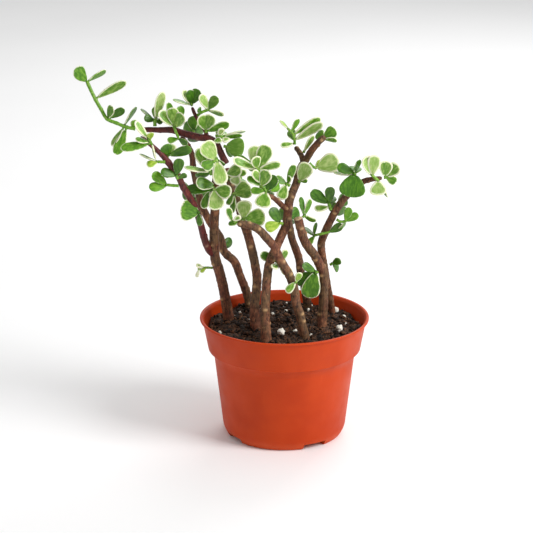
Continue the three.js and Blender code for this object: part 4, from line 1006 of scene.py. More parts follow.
@dataclass(frozen=True)
class PerliteGlass:
    """White expanded glass grains."""

    white: Colour = linear(232, 228, 216)
    soiled: Colour = linear(176, 160, 138)

    def build(self) -> bpy.types.Material:
        """Makes the material."""
        bench = Bench("perlite")
        colour = bench.blend(bench.span(bench.lumps(1.6, 4), 0.5, 0.75, 0, 0.7), self.white,
                             self.soiled)
        bench.relief(bench.lumps(0.45, 4, 0.7), 0.15, 0.8)
        return bench.finish(colour, Roughness=0.8, Subsurface_Weight=0.15,
                            Subsurface_Radius=(0.002, 0.002, 0.002), Subsurface_Scale=0.5)


@dataclass(frozen=True)
class Bark:
    """Brown or red bark with lighter leaf scars and cracked rings."""

    name: str
    base: Colour
    light: Colour
    dark: Colour
    scar: Colour
    weathered: Colour
    roughness: float

    def build(self) -> bpy.types.Material:
        """Makes the material."""
        bench = Bench(self.name)
        cracks = bench.lumps(1.3, 6, 0.7, bench.stretched((1, 1, 0.45)))
        colour = bench.blend(bench.span(bench.lumps(5, 5, 0.65), 0.4, 0.66), self.base,
                             self.light)
        colour = bench.blend(bench.span(bench.lumps(15, 4, 0.6), 0.42, 0.6, 0, 0.75), colour,
                             self.weathered)
        stripes = bench.lumps(1.0, 4, 0.6, bench.stretched((1, 1, 0.14)))
        colour = bench.blend(bench.span(stripes, 0.56, 0.36, 0, 0.6), colour, self.dark)
        colour = bench.blend(bench.span(cracks, 0.5, 0.36, 0, 0.85), colour, self.dark)
        flecks = bench.span(bench.lumps(0.8, 4, 0.6), 0.64, 0.74, 0, 0.6)
        colour = bench.blend(flecks, colour, self.scar)
        ring = bench.painted("ring").outputs["Fac"]
        colour = bench.blend(bench.sum("MULTIPLY", ring, 0.3), colour, self.dark)
        scar = bench.painted("scar").outputs["Fac"]
        colour = bench.blend(bench.sum("MULTIPLY", scar, 0.85), colour, self.scar)
        bench.relief(cracks, 0.22, 0.9)
        return bench.finish(colour, Roughness=self.roughness, Specular_IOR_Level=0.4)


@dataclass(frozen=True)
class CutWood:
    """Pale wood of a sawn stem."""

    pale: Colour = linear(206, 178, 138)
    brown: Colour = linear(150, 112, 76)

    def build(self) -> bpy.types.Material:
        """Makes the material."""
        bench = Bench("cut_wood")
        share = bench.span(bench.lumps(1.1, 4), 0.4, 0.7)
        bench.relief(bench.lumps(0.5, 4), 0.1, 0.6)
        return bench.finish(bench.blend(share, self.pale, self.brown), Roughness=0.8)


@dataclass(frozen=True)
class LeafFlesh:
    """Waxy, slightly clear leaf flesh with a cream margin that fades in streaks."""

    cream: Colour = linear(236, 238, 204)
    roughness: float = 0.36

    def build(self) -> bpy.types.Material:
        """Makes the material."""
        bench = Bench("leaf_flesh")
        spot = bench.painted("leaf_place").outputs["Vector"]
        streaks = bench.lumps(1.1, 3, 0.6, bench.stretched((1, 0.28, 1), spot))
        blotch = bench.lumps(3.2, 2, 0.5, spot)
        share = bench.span(bench.sum("ADD", streaks, bench.sum("MULTIPLY", blotch, 0.5)),
                           0.62, 0.98)
        flesh = bench.blend(share, bench.painted("flesh").outputs["Color"],
                            bench.painted("streak").outputs["Color"])
        ragged = bench.sum("MULTIPLY", bench.sum("SUBTRACT", streaks, 0.5), 1.7)
        inwards = bench.sum("ADD", bench.painted("edge").outputs["Fac"], ragged)
        inner = bench.sum("SUBTRACT", inwards, bench.painted("rim_width").outputs["Fac"])
        colour = bench.blend(bench.span(inner, -0.32, 0.3), self.cream, flesh)
        bench.relief(bench.lumps(0.7, 3, 0.6), 0.04, 0.5)
        return bench.finish(colour, Roughness=self.roughness, Specular_IOR_Level=0.36,
                            Subsurface_Weight=0.18, Subsurface_Radius=(0.0016, 0.0024, 0.0008),
                            Subsurface_Scale=0.7)


@dataclass(frozen=True)
class StudioPaper:
    """Plain pale floor."""

    pale: Colour = (0.97, 0.97, 0.97)

    def build(self) -> bpy.types.Material:
        """Makes the material."""
        bench = Bench("studio_paper")
        grey = tuple(0.985 * channel for channel in self.pale)
        share = bench.span(bench.lumps(300, 2), 0.4, 0.6)
        return bench.finish(bench.blend(share, self.pale, grey), Roughness=0.9)


def smooth_line(rows: list[Vector], step: float) -> list[tuple[Vector, float]]:
    """Centripetal curve through points.

    Args:
        rows: the points in millimetres.
        step: longest distance between the curve's samples.

    Returns:
        Samples as (point, place along the list), the place being a point's number plus the
        share of the way to the next.
    """
    ends = [rows[0] * 2 - rows[1], *rows, rows[-1] * 2 - rows[-2]]
    line: list[tuple[Vector, float]] = []
    for index in range(len(rows) - 1):
        a, b, c, d = ends[index:index + 4]
        gaps = [max((q - p).length ** 0.5, 1e-4) for p, q in ((a, b), (b, c), (c, d))]
        start = (b - a) / gaps[0] - (c - a) / (gaps[0] + gaps[1]) + (c - b) / gaps[1]
        end = (c - b) / gaps[1] - (d - b) / (gaps[1] + gaps[2]) + (d - c) / gaps[2]
        start, end = start * gaps[1], end * gaps[1]
        count = max(1, math.ceil((c - b).length / step))
        for number in range(count):
            t = number / count
            cube, square = t ** 3, t ** 2
            point = (b * (2 * cube - 3 * square + 1) + start * (cube - 2 * square + t)
                     + c * (3 * square - 2 * cube) + end * (cube - square))
            line.append((point, index + t))
    line.append((rows[-1].copy(), float(len(rows) - 1)))
    return line


def frames(line: list[tuple[Vector, float]]) -> list[tuple[Vector, float, Vector, Vector]]:
    """Frames along a curve that turn as little as they can.

    Args:
        line: the curve's samples.

    Returns:
        For each sample its point, its place along the list, its way and its first side.
    """
    normal = FIRST_SIDE.copy()
    made = []
    for number, (centre, spot) in enumerate(line):
        ahead = line[min(number + 1, len(line) - 1)][0]
        tangent = (ahead - line[max(number - 1, 0)][0]).normalized()
        normal = (normal - tangent * normal.dot(tangent)).normalized()
        made.append((centre, spot, tangent, normal))
    return made


def spokes(first: Vector, second: Vector, count: int) -> Iterator[tuple[float, Vector]]:
    """Angles and ways all round, from the first way towards the second."""
    for side in range(count):
        angle = 2 * math.pi * side / count
        yield angle, first * math.cos(angle) + second * math.sin(angle)


def polar(radius: float, angle: float) -> tuple[float, float]:
    """Plane place at a radius and an angle."""
    return radius * math.cos(angle), radius * math.sin(angle)


def linked(name: str, mesh: bpy.types.Mesh) -> bpy.types.Object:
    """New object for a mesh, linked to the scene."""
    piece = bpy.data.objects.new(name, mesh)
    bpy.context.scene.collection.objects.link(piece)
    return piece


def linked_shape(name: str, shape: bmesh.types.BMesh) -> bpy.types.Object:
    """New object for a shape, which is freed."""
    mesh = bpy.data.meshes.new(name)
    shape.to_mesh(mesh)
    shape.free()
    return linked(name, mesh)


def along(values: list[float], spot: float) -> float:
    """Value between the numbered ones of a list."""
    low = min(int(spot), len(values) - 2)
    return values[low] + (values[low + 1] - values[low]) * (spot - low)


@dataclass
class WoodyStem:
    """One brown stem or red branch: knotted tubes with leaf scars on their rings."""

    stem: Stem
    sides: int = 20
    step: float = 0.75
    ring_gap: float = 6.4
    ring_rise: float = 0.13
    ring_width: float = 0.55
    scar_rise: float = 0.34
    unevenness: float = 0.055

    def tube(self, draft: Draft, rows: tuple[Row, ...], seed: float) -> None:
        """Adds one route of the stem.

        Args:
            draft: mesh to add to.
            rows: the route's (across, back, height, radius).
            seed: shift of this route's noise.
        """
        line = smooth_line([place(*row[:3]) for row in rows], self.step)
        radii = [row[3] for row in rows]
        reach = 0.0
        rings = []
        for number, (centre, spot, tangent, normal) in enumerate(frames(line)):
            reach += (centre - line[max(number - 1, 0)][0]).length
            taper = self._end_taper(number, len(line))
            rings.append(self._ring(draft, centre, tangent, normal, along(radii, spot) * taper,
                                    reach + 3 * seed, seed))
        draft.skin(rings)
        self._close(draft, rings, line)

    def _end_taper(self, number: int, count: int) -> float:
        """Share of the radius that is left at the rounded top of an unsawn stem."""
        if self.stem.sawn:
            return 1.0
        return (1.0, 0.9, 0.62)[max(0, 3 - (count - number))] if count - number < 3 else 1.0

    def _ring(self, draft: Draft, centre: Vector, tangent: Vector, normal: Vector,
              radius: float, reach: float, seed: float) -> list[int]:
        """Adds one ring of points with its knot and scars painted.

        Args:
            draft: mesh to add to.
            centre: middle of the ring.
            tangent: way of the stem.
            normal: side of the ring that is its first.
            radius: plain radius.
            reach: distance along the stem.
            seed: shift of the noise.

        Returns:
            The points' numbers.
        """
        knot = round(reach / self.ring_gap)
        off = reach - (knot + 0.22 * math.sin(2.9 * knot + seed)) * self.ring_gap
        swell = math.exp(-((off / self.ring_width) ** 2))
        below = math.exp(-(((off + 0.9) / 0.5) ** 2))
        kept = 1.0 if math.sin(5.1 * knot + 2.3 * seed) > 0.1 else 0.0
        ring = []
        for angle, way in spokes(normal, tangent.cross(normal), self.sides):
            turn = math.cos(angle - 1.57 * (knot % 2) - 0.9 * math.sin(3.3 * knot + seed))
            bud = math.exp(-(((turn - 1) / 0.1) ** 2)) * math.exp(-((off / 0.8) ** 2)) * kept
            rough = self.unevenness * wobble(centre + way * radius, 2.4, seed)
            rough += 0.5 * self.unevenness * wobble(centre + way * radius, 0.9, seed + 4)
            size = radius * (1 + rough) + self.ring_rise * swell + self.scar_rise * bud
            ring.append(draft.add(centre + way * size, ring=below, scar=bud))
        return ring

    def _close(self, draft: Draft, rings: list[list[int]],
               line: list[tuple[Vector, float]]) -> None:
        """Closes both ends, with pale wood where the stem was sawn."""
        foot = draft.add(line[0][0].copy(), ring=0.0, scar=0.0)
        draft.fan(rings[0][::-1], foot)
        top, before = line[-1][0], line[-2][0]
        rise = 0.0 if self.stem.sawn else 0.25
        apex = draft.add(top + (top - before).normalized() * rise, ring=0.0, scar=0.0)
        draft.fan(rings[-1], apex, 1 if self.stem.sawn else 0)

    def build(self, bark: bpy.types.Material, cut: bpy.types.Material, slot: str,
              kind: str) -> bpy.types.Object:
        """Makes the piece.

        Args:
            bark: its bark.
            cut: its sawn wood.
            slot: the record's material slot.
            kind: first word of the piece's name.

        Returns:
            The piece.
        """
        draft = Draft()
        for number, rows in enumerate(self.stem.routes):
            self.tube(draft, rows, number + len(self.stem.name))
        piece = draft.build(f"{kind}_{self.stem.name}", [bark, cut])
        return settle(piece, slot, self.stem.name)


@dataclass
class LeafyShoot:
    """A green shoot and its fleshy leaves."""

    shoot: Shoot
    sides: int = 12
    step: float = 0.7
    stations: int = 22
    around: int = 22
    twig_radius: float = 0.8
    stalk: float = 0.75
    stalk_root: float = 0.6
    foot: float = 0.1
    thickness: float = 1.8
    outline_peak: float = 0.673
    shoot_green: Colour = linear(96, 148, 34)
    shoot_streak: Colour = linear(136, 176, 70)
    chance: random.Random = field(init=False)

    def __post_init__(self) -> None:
        """Seeds the shoot's small differences from its own name."""
        self.chance = random.Random(self.shoot.name)

    def _place(self, row: Row) -> Vector:
        """Point of the shoot, with its setback."""
        return place(row[0], row[1] + self.shoot.back, row[2])

    def stem(self, draft: Draft, rows: tuple[Row, ...], radius: float) -> list[Vector]:
        """Adds a green stem.

        Args:
            draft: mesh to add to.
            rows: its (across, back, height).
            radius: its radius.

        Returns:
            The points of its middle line.
        """
        line = smooth_line([self._place(row) for row in rows], self.step)
        rings = []
        for number, (centre, spot, tangent, normal) in enumerate(frames(line)):
            knot = math.exp(-(((spot - round(spot)) / 0.12) ** 2))
            last = len(line) - 1 - number
            size = radius * (1 + 0.12 * knot) * (0.7 if last == 0 else 1.0)
            ring = []
            for _, way in spokes(normal, tangent.cross(normal), self.sides):
                grown = size * (1 + 0.06 * wobble(centre + way, 1.5))
                ring.append(self._green(draft, centre + way * grown))
            rings.append(ring)
        draft.skin(rings)
        draft.fan(rings[0][::-1], self._green(draft, line[0][0].copy()))
        draft.fan(rings[-1], self._green(draft, line[-1][0].copy()))
        return [point for point, _ in line]

    def _green(self, draft: Draft, point: Vector) -> int:
        """Adds a point of the green stem."""
        return draft.add(point, flesh=self.shoot_green, streak=self.shoot_streak,
                         edge=FAR_FROM_EDGE, rim_width=0.0, leaf_place=tuple(point * MM))

    def outline(self, share: float, half: float) -> float:
        """Half width of a leaf: narrow at the base, and broad and round at the end.

        Args:
            share: share of the leaf's length.
            half: its greatest half width.

        Returns:
            The half width there.
        """
        belly = share ** 0.62 * math.sqrt(max(0.0, 1 - share ** 3.4))
        return half * belly / self.outline_peak

    def leaf(self, draft: Draft, row: tuple, middles: list[Vector]) -> None:
        """Adds a leaf with its stalk.

        Args:
            draft: mesh to add to.
            row: the leaf's row in the shoot's table.
            middles: points of the shoot's middle lines.
        """
        base, tip = self._place(row[0:3]), self._place(row[3:6])
        width, turn, tone = row[6:9]
        axis = tip - base
        length = axis.length
        axis.normalize()
        face = Vector((0, -1, CROWN_FALL))
        face = (face - axis * face.dot(axis)).normalized()
        face.rotate(Quaternion(axis, math.radians(turn)))
        side = axis.cross(face)
        blade = Blade(base, axis, face, side, length, width / 2, self.chance)
        shares = [math.sin(math.pi / 2 * n / self.stations) for n in range(1, self.stations)]
        rim = [(self.outline(s, width / 2), s * length) for s in shares] + [(0, length)]
        root = min(middles, key=lambda middle: (middle - base).length) - axis * self.stalk_root
        rings = []
        for share in shares:
            half = max(self.outline(share, width / 2), self.stalk * (1 - share))
            thick = self._half_thickness(share, half, width / 2)
            ring = []
            for number in range(self.around):
                angle = 2 * math.pi * number / self.around
                flat, tall = math.cos(angle), math.sin(angle)
                tall = math.copysign(abs(tall) ** 0.8, tall)
                point = blade.point(share, flat * half, tall * thick)
                edge = min(math.hypot(flat * half - x, share * length - y) for x, y in
                           rim + [(-x, y) for x, y in rim])
                ring.append(self._flesh(draft, point, tone, edge, (flat * half, share * length),
                                        blade))
            rings.append(ring)
        stalk_rings = self._stalk_rings(draft, root, blade, tone)
        draft.skin(stalk_rings + rings)
        draft.fan(stalk_rings[0][::-1], self._flesh(draft, root, tone, FAR_FROM_EDGE, (0, 0),
                                                        blade))
        end = blade.point(1.0, 0, 0)
        draft.fan(rings[-1], self._flesh(draft, end, tone, 0.0, (0, length), blade))

    def _half_thickness(self, share: float, half: float, widest: float) -> float:
        """Half of the flesh's thickness at a share of the length."""
        plump = 0.5 + 0.5 * math.sqrt(min(1.0, half / widest))
        thin = min(1.0, 0.72 + 0.04 * widest)
        return self.thickness / 2 * plump * thin * math.sqrt(max(0.0, 1 - share ** 7))

    def _stalk_rings(self, draft: Draft, root: Vector, blade: "Blade",
                     tone: LeafTone) -> list[list[int]]:
        """Adds the round stalk between the shoot and the blade."""
        foot = blade.base + blade.axis * (self.foot * blade.length)
        rings = []
        for share in (0.0, 0.5, 1.0):
            centre = root.lerp(foot, share)
            ring = []
            for _, way in spokes(blade.side, blade.face, self.around):
                point = centre + way * self.stalk * (1 - 0.15 * share)
                ring.append(self._flesh(draft, point, tone, FAR_FROM_EDGE, (0, share), blade))
            rings.append(ring)
        return rings

    def _flesh(self, draft: Draft, point: Vector, tone: LeafTone, edge: float,
               spot: tuple[float, float], blade: "Blade") -> int:
        """Adds a painted point of a leaf."""
        colours = TONES[tone]
        flesh = tuple(channel * blade.shade for channel in colours.flesh)
        streak = tuple(channel * blade.shade for channel in colours.streak)
        where = ((spot[0] + 40 * blade.seed) * MM, spot[1] * MM, blade.seed)
        return draft.add(point, flesh=flesh, streak=streak, edge=edge,
                         rim_width=colours.rim_width * blade.rim_share, leaf_place=where)

    def build(self, flesh: bpy.types.Material) -> bpy.types.Object:
        """Makes the piece.

        Args:
            flesh: the leaves' material.

        Returns:
            The piece.
        """
        draft = Draft()
        middles = self.stem(draft, self.shoot.stem, self.shoot.radius)
        for twig in self.shoot.twigs:
            middles += self.stem(draft, twig, self.twig_radius)
        for row in self.shoot.leaves:
            self.leaf(draft, row, middles)
        piece = draft.build(f"leafy_{self.shoot.name}", [flesh])
        return settle(piece, "leaf", self.shoot.name)


class Blade:
    """Frame of one leaf's blade, with its own small curl, bend, cup and twist."""

    def __init__(self, base: Vector, axis: Vector, face: Vector, side: Vector, length: float,
                 half: float, chance: random.Random) -> None:
        """Takes the leaf's frame and draws its small differences."""
        self.base = base
        self.axis = axis
        self.face = face
        self.side = side
        self.length = length
        self.half = half
        self.cup = chance.uniform(0.02, 0.16)
        self.curl = chance.uniform(0.03, 0.11)
        self.bend = chance.uniform(-0.03, 0.03)
        self.twist = chance.uniform(-0.18, 0.18)
        self.shade = chance.uniform(0.88, 1.1)
        self.rim_share = chance.uniform(0.75, 1.25)
        self.seed = chance.uniform(0, 9)

    def point(self, share: float, across: float, rise: float) -> Vector:
        """Point of the blade.

        Args:
            share: share of the length.
            across: millimetres from the middle line.
            rise: millimetres from the middle surface towards the face.

        Returns:
            The point in millimetres.
        """
        turn = self.twist * share
        wave = 1 + 0.035 * wobble(Vector((across * 0.3, share * self.length, 9 * self.seed)), 2.5)
        flat = across * wave
        lift = self.curl * self.length * share ** 2 + self.cup * flat * flat / self.half
        groove = 0.16 * math.exp(-((flat / 0.9) ** 2)) * (1 - share) if rise > 0 else 0.0
        height = rise - groove
        centre = self.base + self.axis * (share * self.length)
        centre += self.side * (self.bend * self.length * share ** 2) + self.face * lift
        way = self.side * math.cos(turn) + self.face * math.sin(turn)
        up = self.face * math.cos(turn) - self.side * math.sin(turn)
        return centre + way * flat + up * height


@dataclass
class NurseryPot:
    """Thin moulded pot: rolled lip, tapered collar, shoulder, body and notched foot."""

    height: float = 73.5
    lip_radius: float = 51
    lip_depth: float = 1.5
    collar_radius: float = 49.4
    collar_foot_radius: float = 46
    collar_depth: float = 19.5
    body_radius: float = 42.5
    shoulder_depth: float = 24
    foot_radius: float = 34.6
    foot_round: float = 4.6
    foot_flare: float = 0.55
    wall: float = 1.1
    floor: float = 1.4
    segments: int = 160
    pocket_angles: tuple[float, ...] = (31, 121, 211, 301)
    pocket_width: float = 15
    pocket_height: float = 3.6
    pocket_inner: float = 19
    drain_radius: float = 2.4

    def corners(self) -> list[tuple[float, float, float]]:
        """Corners of the section as (radius, height, rounding), outside first."""
        lip_foot = self.height - self.lip_depth
        collar_foot = self.height - self.collar_depth
        shoulder = self.height - self.shoulder_depth
        foot_top = self.foot_radius + self.foot_flare * self.foot_round
        inner = self.collar_radius - self.wall
        return [
            (self.foot_radius, 0, 1.2),
            (foot_top, self.foot_round, 2.2),
            (self.body_radius, shoulder, 1.8),
            (self.collar_foot_radius - 1.5, collar_foot - 0.6, 0.3),
            (self.collar_foot_radius, collar_foot, 0.3),
            (self.collar_radius, lip_foot, 0.3),
            (self.lip_radius, lip_foot + 0.3, 0.4),
            (self.lip_radius, self.height, 0.45),
            (inner + 1.2, self.height, 0.45),
            (inner, self.height - 1.6, 0.7),
            (self.collar_foot_radius - self.wall, collar_foot + 0.4, 1.2),
            (self.body_radius - self.wall, shoulder + 0.4, 1.2),
            (foot_top - self.wall, self.foot_round + self.floor, 1.5),
            (self.foot_radius - self.wall, self.floor, 0.8),
        ]

    def section(self) -> list[tuple[float, float]]:
        """Section as (radius, height) with each corner rounded by a short curve."""
        corners = self.corners()
        line = [(0.0, 0.0)]
        for index, (radius, height, rounding) in enumerate(corners):
            here = Vector((radius, height))
            last = Vector(corners[index - 1][:2]) if index else Vector((0, 0))
            after = Vector(corners[(index + 1) % len(corners)][:2])
            after = after if index + 1 < len(corners) else Vector((0, self.floor))
            start = here + (last - here).normalized() * rounding
            end = here + (after - here).normalized() * rounding
            for share in (0, 0.25, 0.5, 0.75, 1):
                point = start.lerp(here, share).lerp(here.lerp(end, share), share)
                line.append((point.x, point.y))
        line.append((0.0, self.floor))
        return line

    def turned(self, line: list[tuple[float, float]], name: str) -> bpy.types.Object:
        """Turns a section about the pot's axis.

        Args:
            line: (radius, height) from the axis and back to it.
            name: name of the piece.

        Returns:
            The turned piece.
        """
        draft = Draft()
        rings = []
        for radius, height in line[1:-1]:
            ring = []
            for side in range(self.segments):
                angle = 2 * math.pi * side / self.segments
                out = radius + 0.16 * math.sin(2 * angle + 0.5) * (height / self.height) ** 2
                ring.append(draft.add(Vector((out * math.cos(angle), out * math.sin(angle),
                                              height))))
            rings.append(ring)
        draft.skin(rings)
        draft.fan(rings[0][::-1], draft.add(Vector((0, 0, line[0][1]))))
        draft.fan(rings[-1], draft.add(Vector((0, 0, line[-1][1]))))
        return draft.build(name, [])

    def block(self, angle: float, low: Vector, high: Vector, name: str) -> bpy.types.Object:
        """Block that points outwards from the axis at a drain pocket.

        Args:
            angle: degrees round from the front towards the right.
            low: lowest corner as (outwards, across, up).
            high: highest corner.
            name: name of the piece.

        Returns:
            The block.
        """
        shape = bmesh.new()
        bmesh.ops.create_cube(shape, size=1)
        spread = Matrix.Diagonal((*(high - low), 1))
        round_axis = Matrix.Rotation(math.radians(angle - 90), 4, "Z")
        middle = Matrix.Translation((low + high) / 2)
        bmesh.ops.transform(shape, matrix=Matrix.Scale(MM, 4) @ round_axis @ middle @ spread,
                            verts=shape.verts)
        return linked_shape(name, shape)

    def drain(self, angle: float) -> bpy.types.Object:
        """Round rod that cuts a pocket's drain hole."""
        reach = (self.pocket_inner + self.foot_radius) / 2
        shape = bmesh.new()
        bmesh.ops.create_cone(shape, cap_ends=True, segments=32, radius1=self.drain_radius * MM,
                              radius2=self.drain_radius * MM, depth=8 * MM)
        turn = math.radians(angle)
        spot = Vector((reach * math.sin(turn), -reach * math.cos(turn), self.pocket_height))
        bmesh.ops.translate(shape, vec=spot * MM, verts=shape.verts)
        return linked_shape("drain_rod", shape)

    def build(self, plastic: bpy.types.Material) -> bpy.types.Object:
        """Makes the pot.

        Args:
            plastic: its material.

        Returns:
            The piece.
        """
        pot = self.turned(self.section(), "moulded_pot")
        room = [(0, 0.05), *[(r - 0.3, h) for r, h in self.section()[1:16] if h < 8],
                (self.foot_radius + 3, 9), (0, 9)]
        for angle in self.pocket_angles:
            half = self.pocket_width / 2 + self.wall
            boss = self.block(angle, Vector((self.pocket_inner - self.wall, -half, 0.3)),
                              Vector((60, half, self.pocket_height + self.wall)), "boss")
            self._carve(boss, self.turned(room, "room"), "INTERSECT")
            self._carve(pot, boss, "UNION")
        for angle in self.pocket_angles:
            half = self.pocket_width / 2
            pocket = self.block(angle, Vector((self.pocket_inner, -half, -1)),
                                Vector((60, half, self.pocket_height)), "pocket")
            self._carve(pot, pocket, "DIFFERENCE")
            self._carve(pot, self.drain(angle), "DIFFERENCE")
        pot.data.materials.clear()
        pot.data.materials.append(plastic)
        pot.data.polygons.foreach_set("use_smooth", [True] * len(pot.data.polygons))
        pot.data.set_sharp_from_angle(angle=math.radians(42))
        return settle(pot, "pot_plastic", "pot")

    def _carve(self, piece: bpy.types.Object, tool: bpy.types.Object, kind: str) -> None:
        """Joins or cuts a piece with a tool piece, which is then removed."""
        change = piece.modifiers.new("carve", "BOOLEAN")
        change.operation = kind
        change.object = tool
        change.solver = "EXACT"
        graph = bpy.context.evaluated_depsgraph_get()
        carved = bpy.data.meshes.new_from_object(piece.evaluated_get(graph))
        piece.modifiers.clear()
        piece.data = carved
        bpy.data.objects.remove(tool)


@dataclass
class PottingMix:
    """Lumpy bark mix that fills the pot, with loose bits, fibres and perlite on it."""

    pot: NurseryPot
    height: float = 66.2
    mound: float = 2.4
    lump: float = 0.7
    gap: float = 0.3
    rings: int = 44
    spokes: int = 120
    bits: int = 900
    fibres: int = 70
    grains: tuple[Row, ...] = ((-2, -24, 4.6), (33, -13, 4.6))
    speck_limit: float = 42
    speck_spread: float = 44
    loose_specks: int = 16
    chance: random.Random = field(default_factory=lambda: random.Random(11))

    @property
    def radius(self) -> float:
        """Radius of the mix's top."""
        slope = (self.pot.collar_radius - self.pot.collar_foot_radius) / (
            self.pot.collar_depth - self.pot.lip_depth)
        return self.pot.collar_radius - (self.pot.height - self.height) * slope - 1.8

    def top(self, x: float, y: float) -> float:
        """Height of the mix's broad shape."""
        share = min(1.0, math.hypot(x, y) / self.pot.collar_radius)
        waves = math.sin(0.31 * x + 1.1) * math.cos(0.27 * y - 0.4) + math.sin(0.19 * (x + y))
        return self.height + self.mound * (1 - share * share) + self.lump * waves

    def _crumbs(self, x: float, y: float) -> float:
        """Small lumps above and below the broad shape."""
        spot = Vector((x, y, 0))
        return (1.7 * wobble(spot, 6.5, 1) + 1.3 * abs(wobble(spot, 2.8, 2))
                + 0.7 * wobble(spot, 1.3, 3))

    def fill(self, draft: Draft) -> None:
        """Adds the body of the mix: its fine top and the plain sides under it."""
        pot, inset = self.pot, self.pot.wall + self.gap + 0.2
        foot_top = pot.foot_radius + pot.foot_flare * pot.foot_round
        below = [
            (pot.foot_radius - inset, pot.pocket_height + pot.floor + 1),
            (foot_top - inset, pot.foot_round + pot.floor + 1.2),
            (pot.body_radius - inset, pot.height - pot.shoulder_depth),
            (pot.collar_foot_radius - inset, pot.height - pot.collar_depth + 1),
        ]
        rings = [self._circle(draft, radius, lambda x, y, z=z: z, 0.4) for radius, z in below]
        for ring in range(self.rings, 0, -1):
            radius = self.radius * (ring / self.rings)
            rings.append(self._circle(draft, radius, self._surface, 0.55))
        draft.skin(rings)
        draft.fan(rings[0][::-1], draft.add(Vector((0, 0, below[0][1])), tint=0.4))
        draft.fan(rings[-1], draft.add(Vector((0, 0, self._surface(0, 0))), tint=0.5))

    def _surface(self, x: float, y: float) -> float:
        """Height of the fine top."""
        return self.top(x, y) + self._crumbs(x, y)

    def _circle(self, draft: Draft, radius: float, height: object, tint: float) -> list[int]:
        """Adds a ring of points, with the height that the function gives them."""
        ring = []
        for spoke in range(self.spokes):
            angle = 2 * math.pi * spoke / self.spokes
            x, y = polar(radius, angle)
            shade = tint + 0.4 * wobble(Vector((x, y, 0)), 4, 6)
            ring.append(draft.add(Vector((x, y, height(x, y))), tint=max(0.0, shade)))
        return ring

    def lump_of(self, draft: Draft, centre: Vector, size: Vector, tint: float, finish: int,
                rough: float = 0.3, level: int = 1) -> None:
        """Adds a rough bit.

        Args:
            draft: mesh to add to.
            centre: its middle.
            size: half sizes along its own axes.
            tint: lightness.
            finish: number of the finish.
            rough: how uneven it is.
            level: fineness of its faces.
        """
        shape = bmesh.new()
        bmesh.ops.create_icosphere(shape, subdivisions=level, radius=1)
        chance = self.chance
        turn = Quaternion((chance.uniform(-0.7, 0.7), chance.uniform(-0.7, 0.7), 1),
                          chance.uniform(0, math.tau))
        seed = chance.uniform(0, 99)
        first = len(draft.points)
        for vert in shape.verts:
            uneven = 1 + rough * wobble(vert.co * 1.3, 1, seed) + rough * 0.6 * wobble(
                vert.co, 0.35, seed)
            point = Vector(a * b * uneven for a, b in zip(vert.co, size))
            point.rotate(turn)
            draft.add(centre + point, tint=tint)
        for face in shape.faces:
            draft.face(tuple(first + vert.index for vert in face.verts), finish)
        shape.free()

    def scatter(self, draft: Draft) -> None:
        """Adds loose bark bits and thin fibres over the top."""
        chance = self.chance
        for _ in range(self.bits):
            spread = self.radius * math.sqrt(chance.random()) * 0.975
            x, y = polar(spread, chance.uniform(0, math.tau))
            long = min(3.4, 0.7 + chance.expovariate(1 / 0.85))
            size = Vector((long, long * chance.uniform(0.4, 0.85), chance.uniform(0.5, 1.3)))
            centre = Vector((x, y, self._surface(x, y) + 0.4 * size.z))
            tint = chance.choice((0.05, 0.15, 0.3, 0.5, 0.9, 1.7))
            self.lump_of(draft, centre, size, tint, 0, 0.55)
        for _ in range(self.fibres):
            self._fibre(draft)

    def _fibre(self, draft: Draft) -> None:
        """Adds one thin bent fibre."""
        chance = self.chance
        spread = self.radius * math.sqrt(chance.random()) * 0.84
        angle, way = chance.uniform(0, math.tau), chance.uniform(0, math.tau)
        length, bend = chance.uniform(3, 7), chance.uniform(-0.5, 0.5)
        middle = Vector((*polar(spread, angle), 0))
        rings = []
        for number in range(7):
            share = number / 6 - 0.5
            turn = way + bend * share
            spot = middle + Vector((math.cos(turn), math.sin(turn), 0)) * (share * length)
            spot.z = self._surface(spot.x, spot.y) + 0.5 + 0.8 * (share * share)
            across = Vector((-math.sin(turn), math.cos(turn), 0))
            thin = 0.2 if number in (0, 6) else 0.32
            rings.append([draft.add(spot + offset * thin, tint=1.3) for offset in
                          (across, Vector((0, 0, 1)), -across, Vector((0, 0, -1)))])
        draft.skin(rings)

    def build(self, mix: bpy.types.Material) -> bpy.types.Object:
        """Makes the mix with its loose bits.

        Args:
            mix: its material.

        Returns:
            The piece.
        """
        draft = Draft()
        self.fill(draft)
        self.scatter(draft)
        return settle(draft.build("bark_mix_fill", [mix]), "potting_mix", "potting_mix")

    def _speck(self, draft: Draft, x: float, y: float, size: float) -> None:
        """Adds a small perlite grain that is half sunk in the top."""
        spot = Vector((x, y, self._surface(x, y) + 0.3 * size))
        self.lump_of(draft, spot, SPECK_SHAPE * size, 1, 0, 0.6, 2)

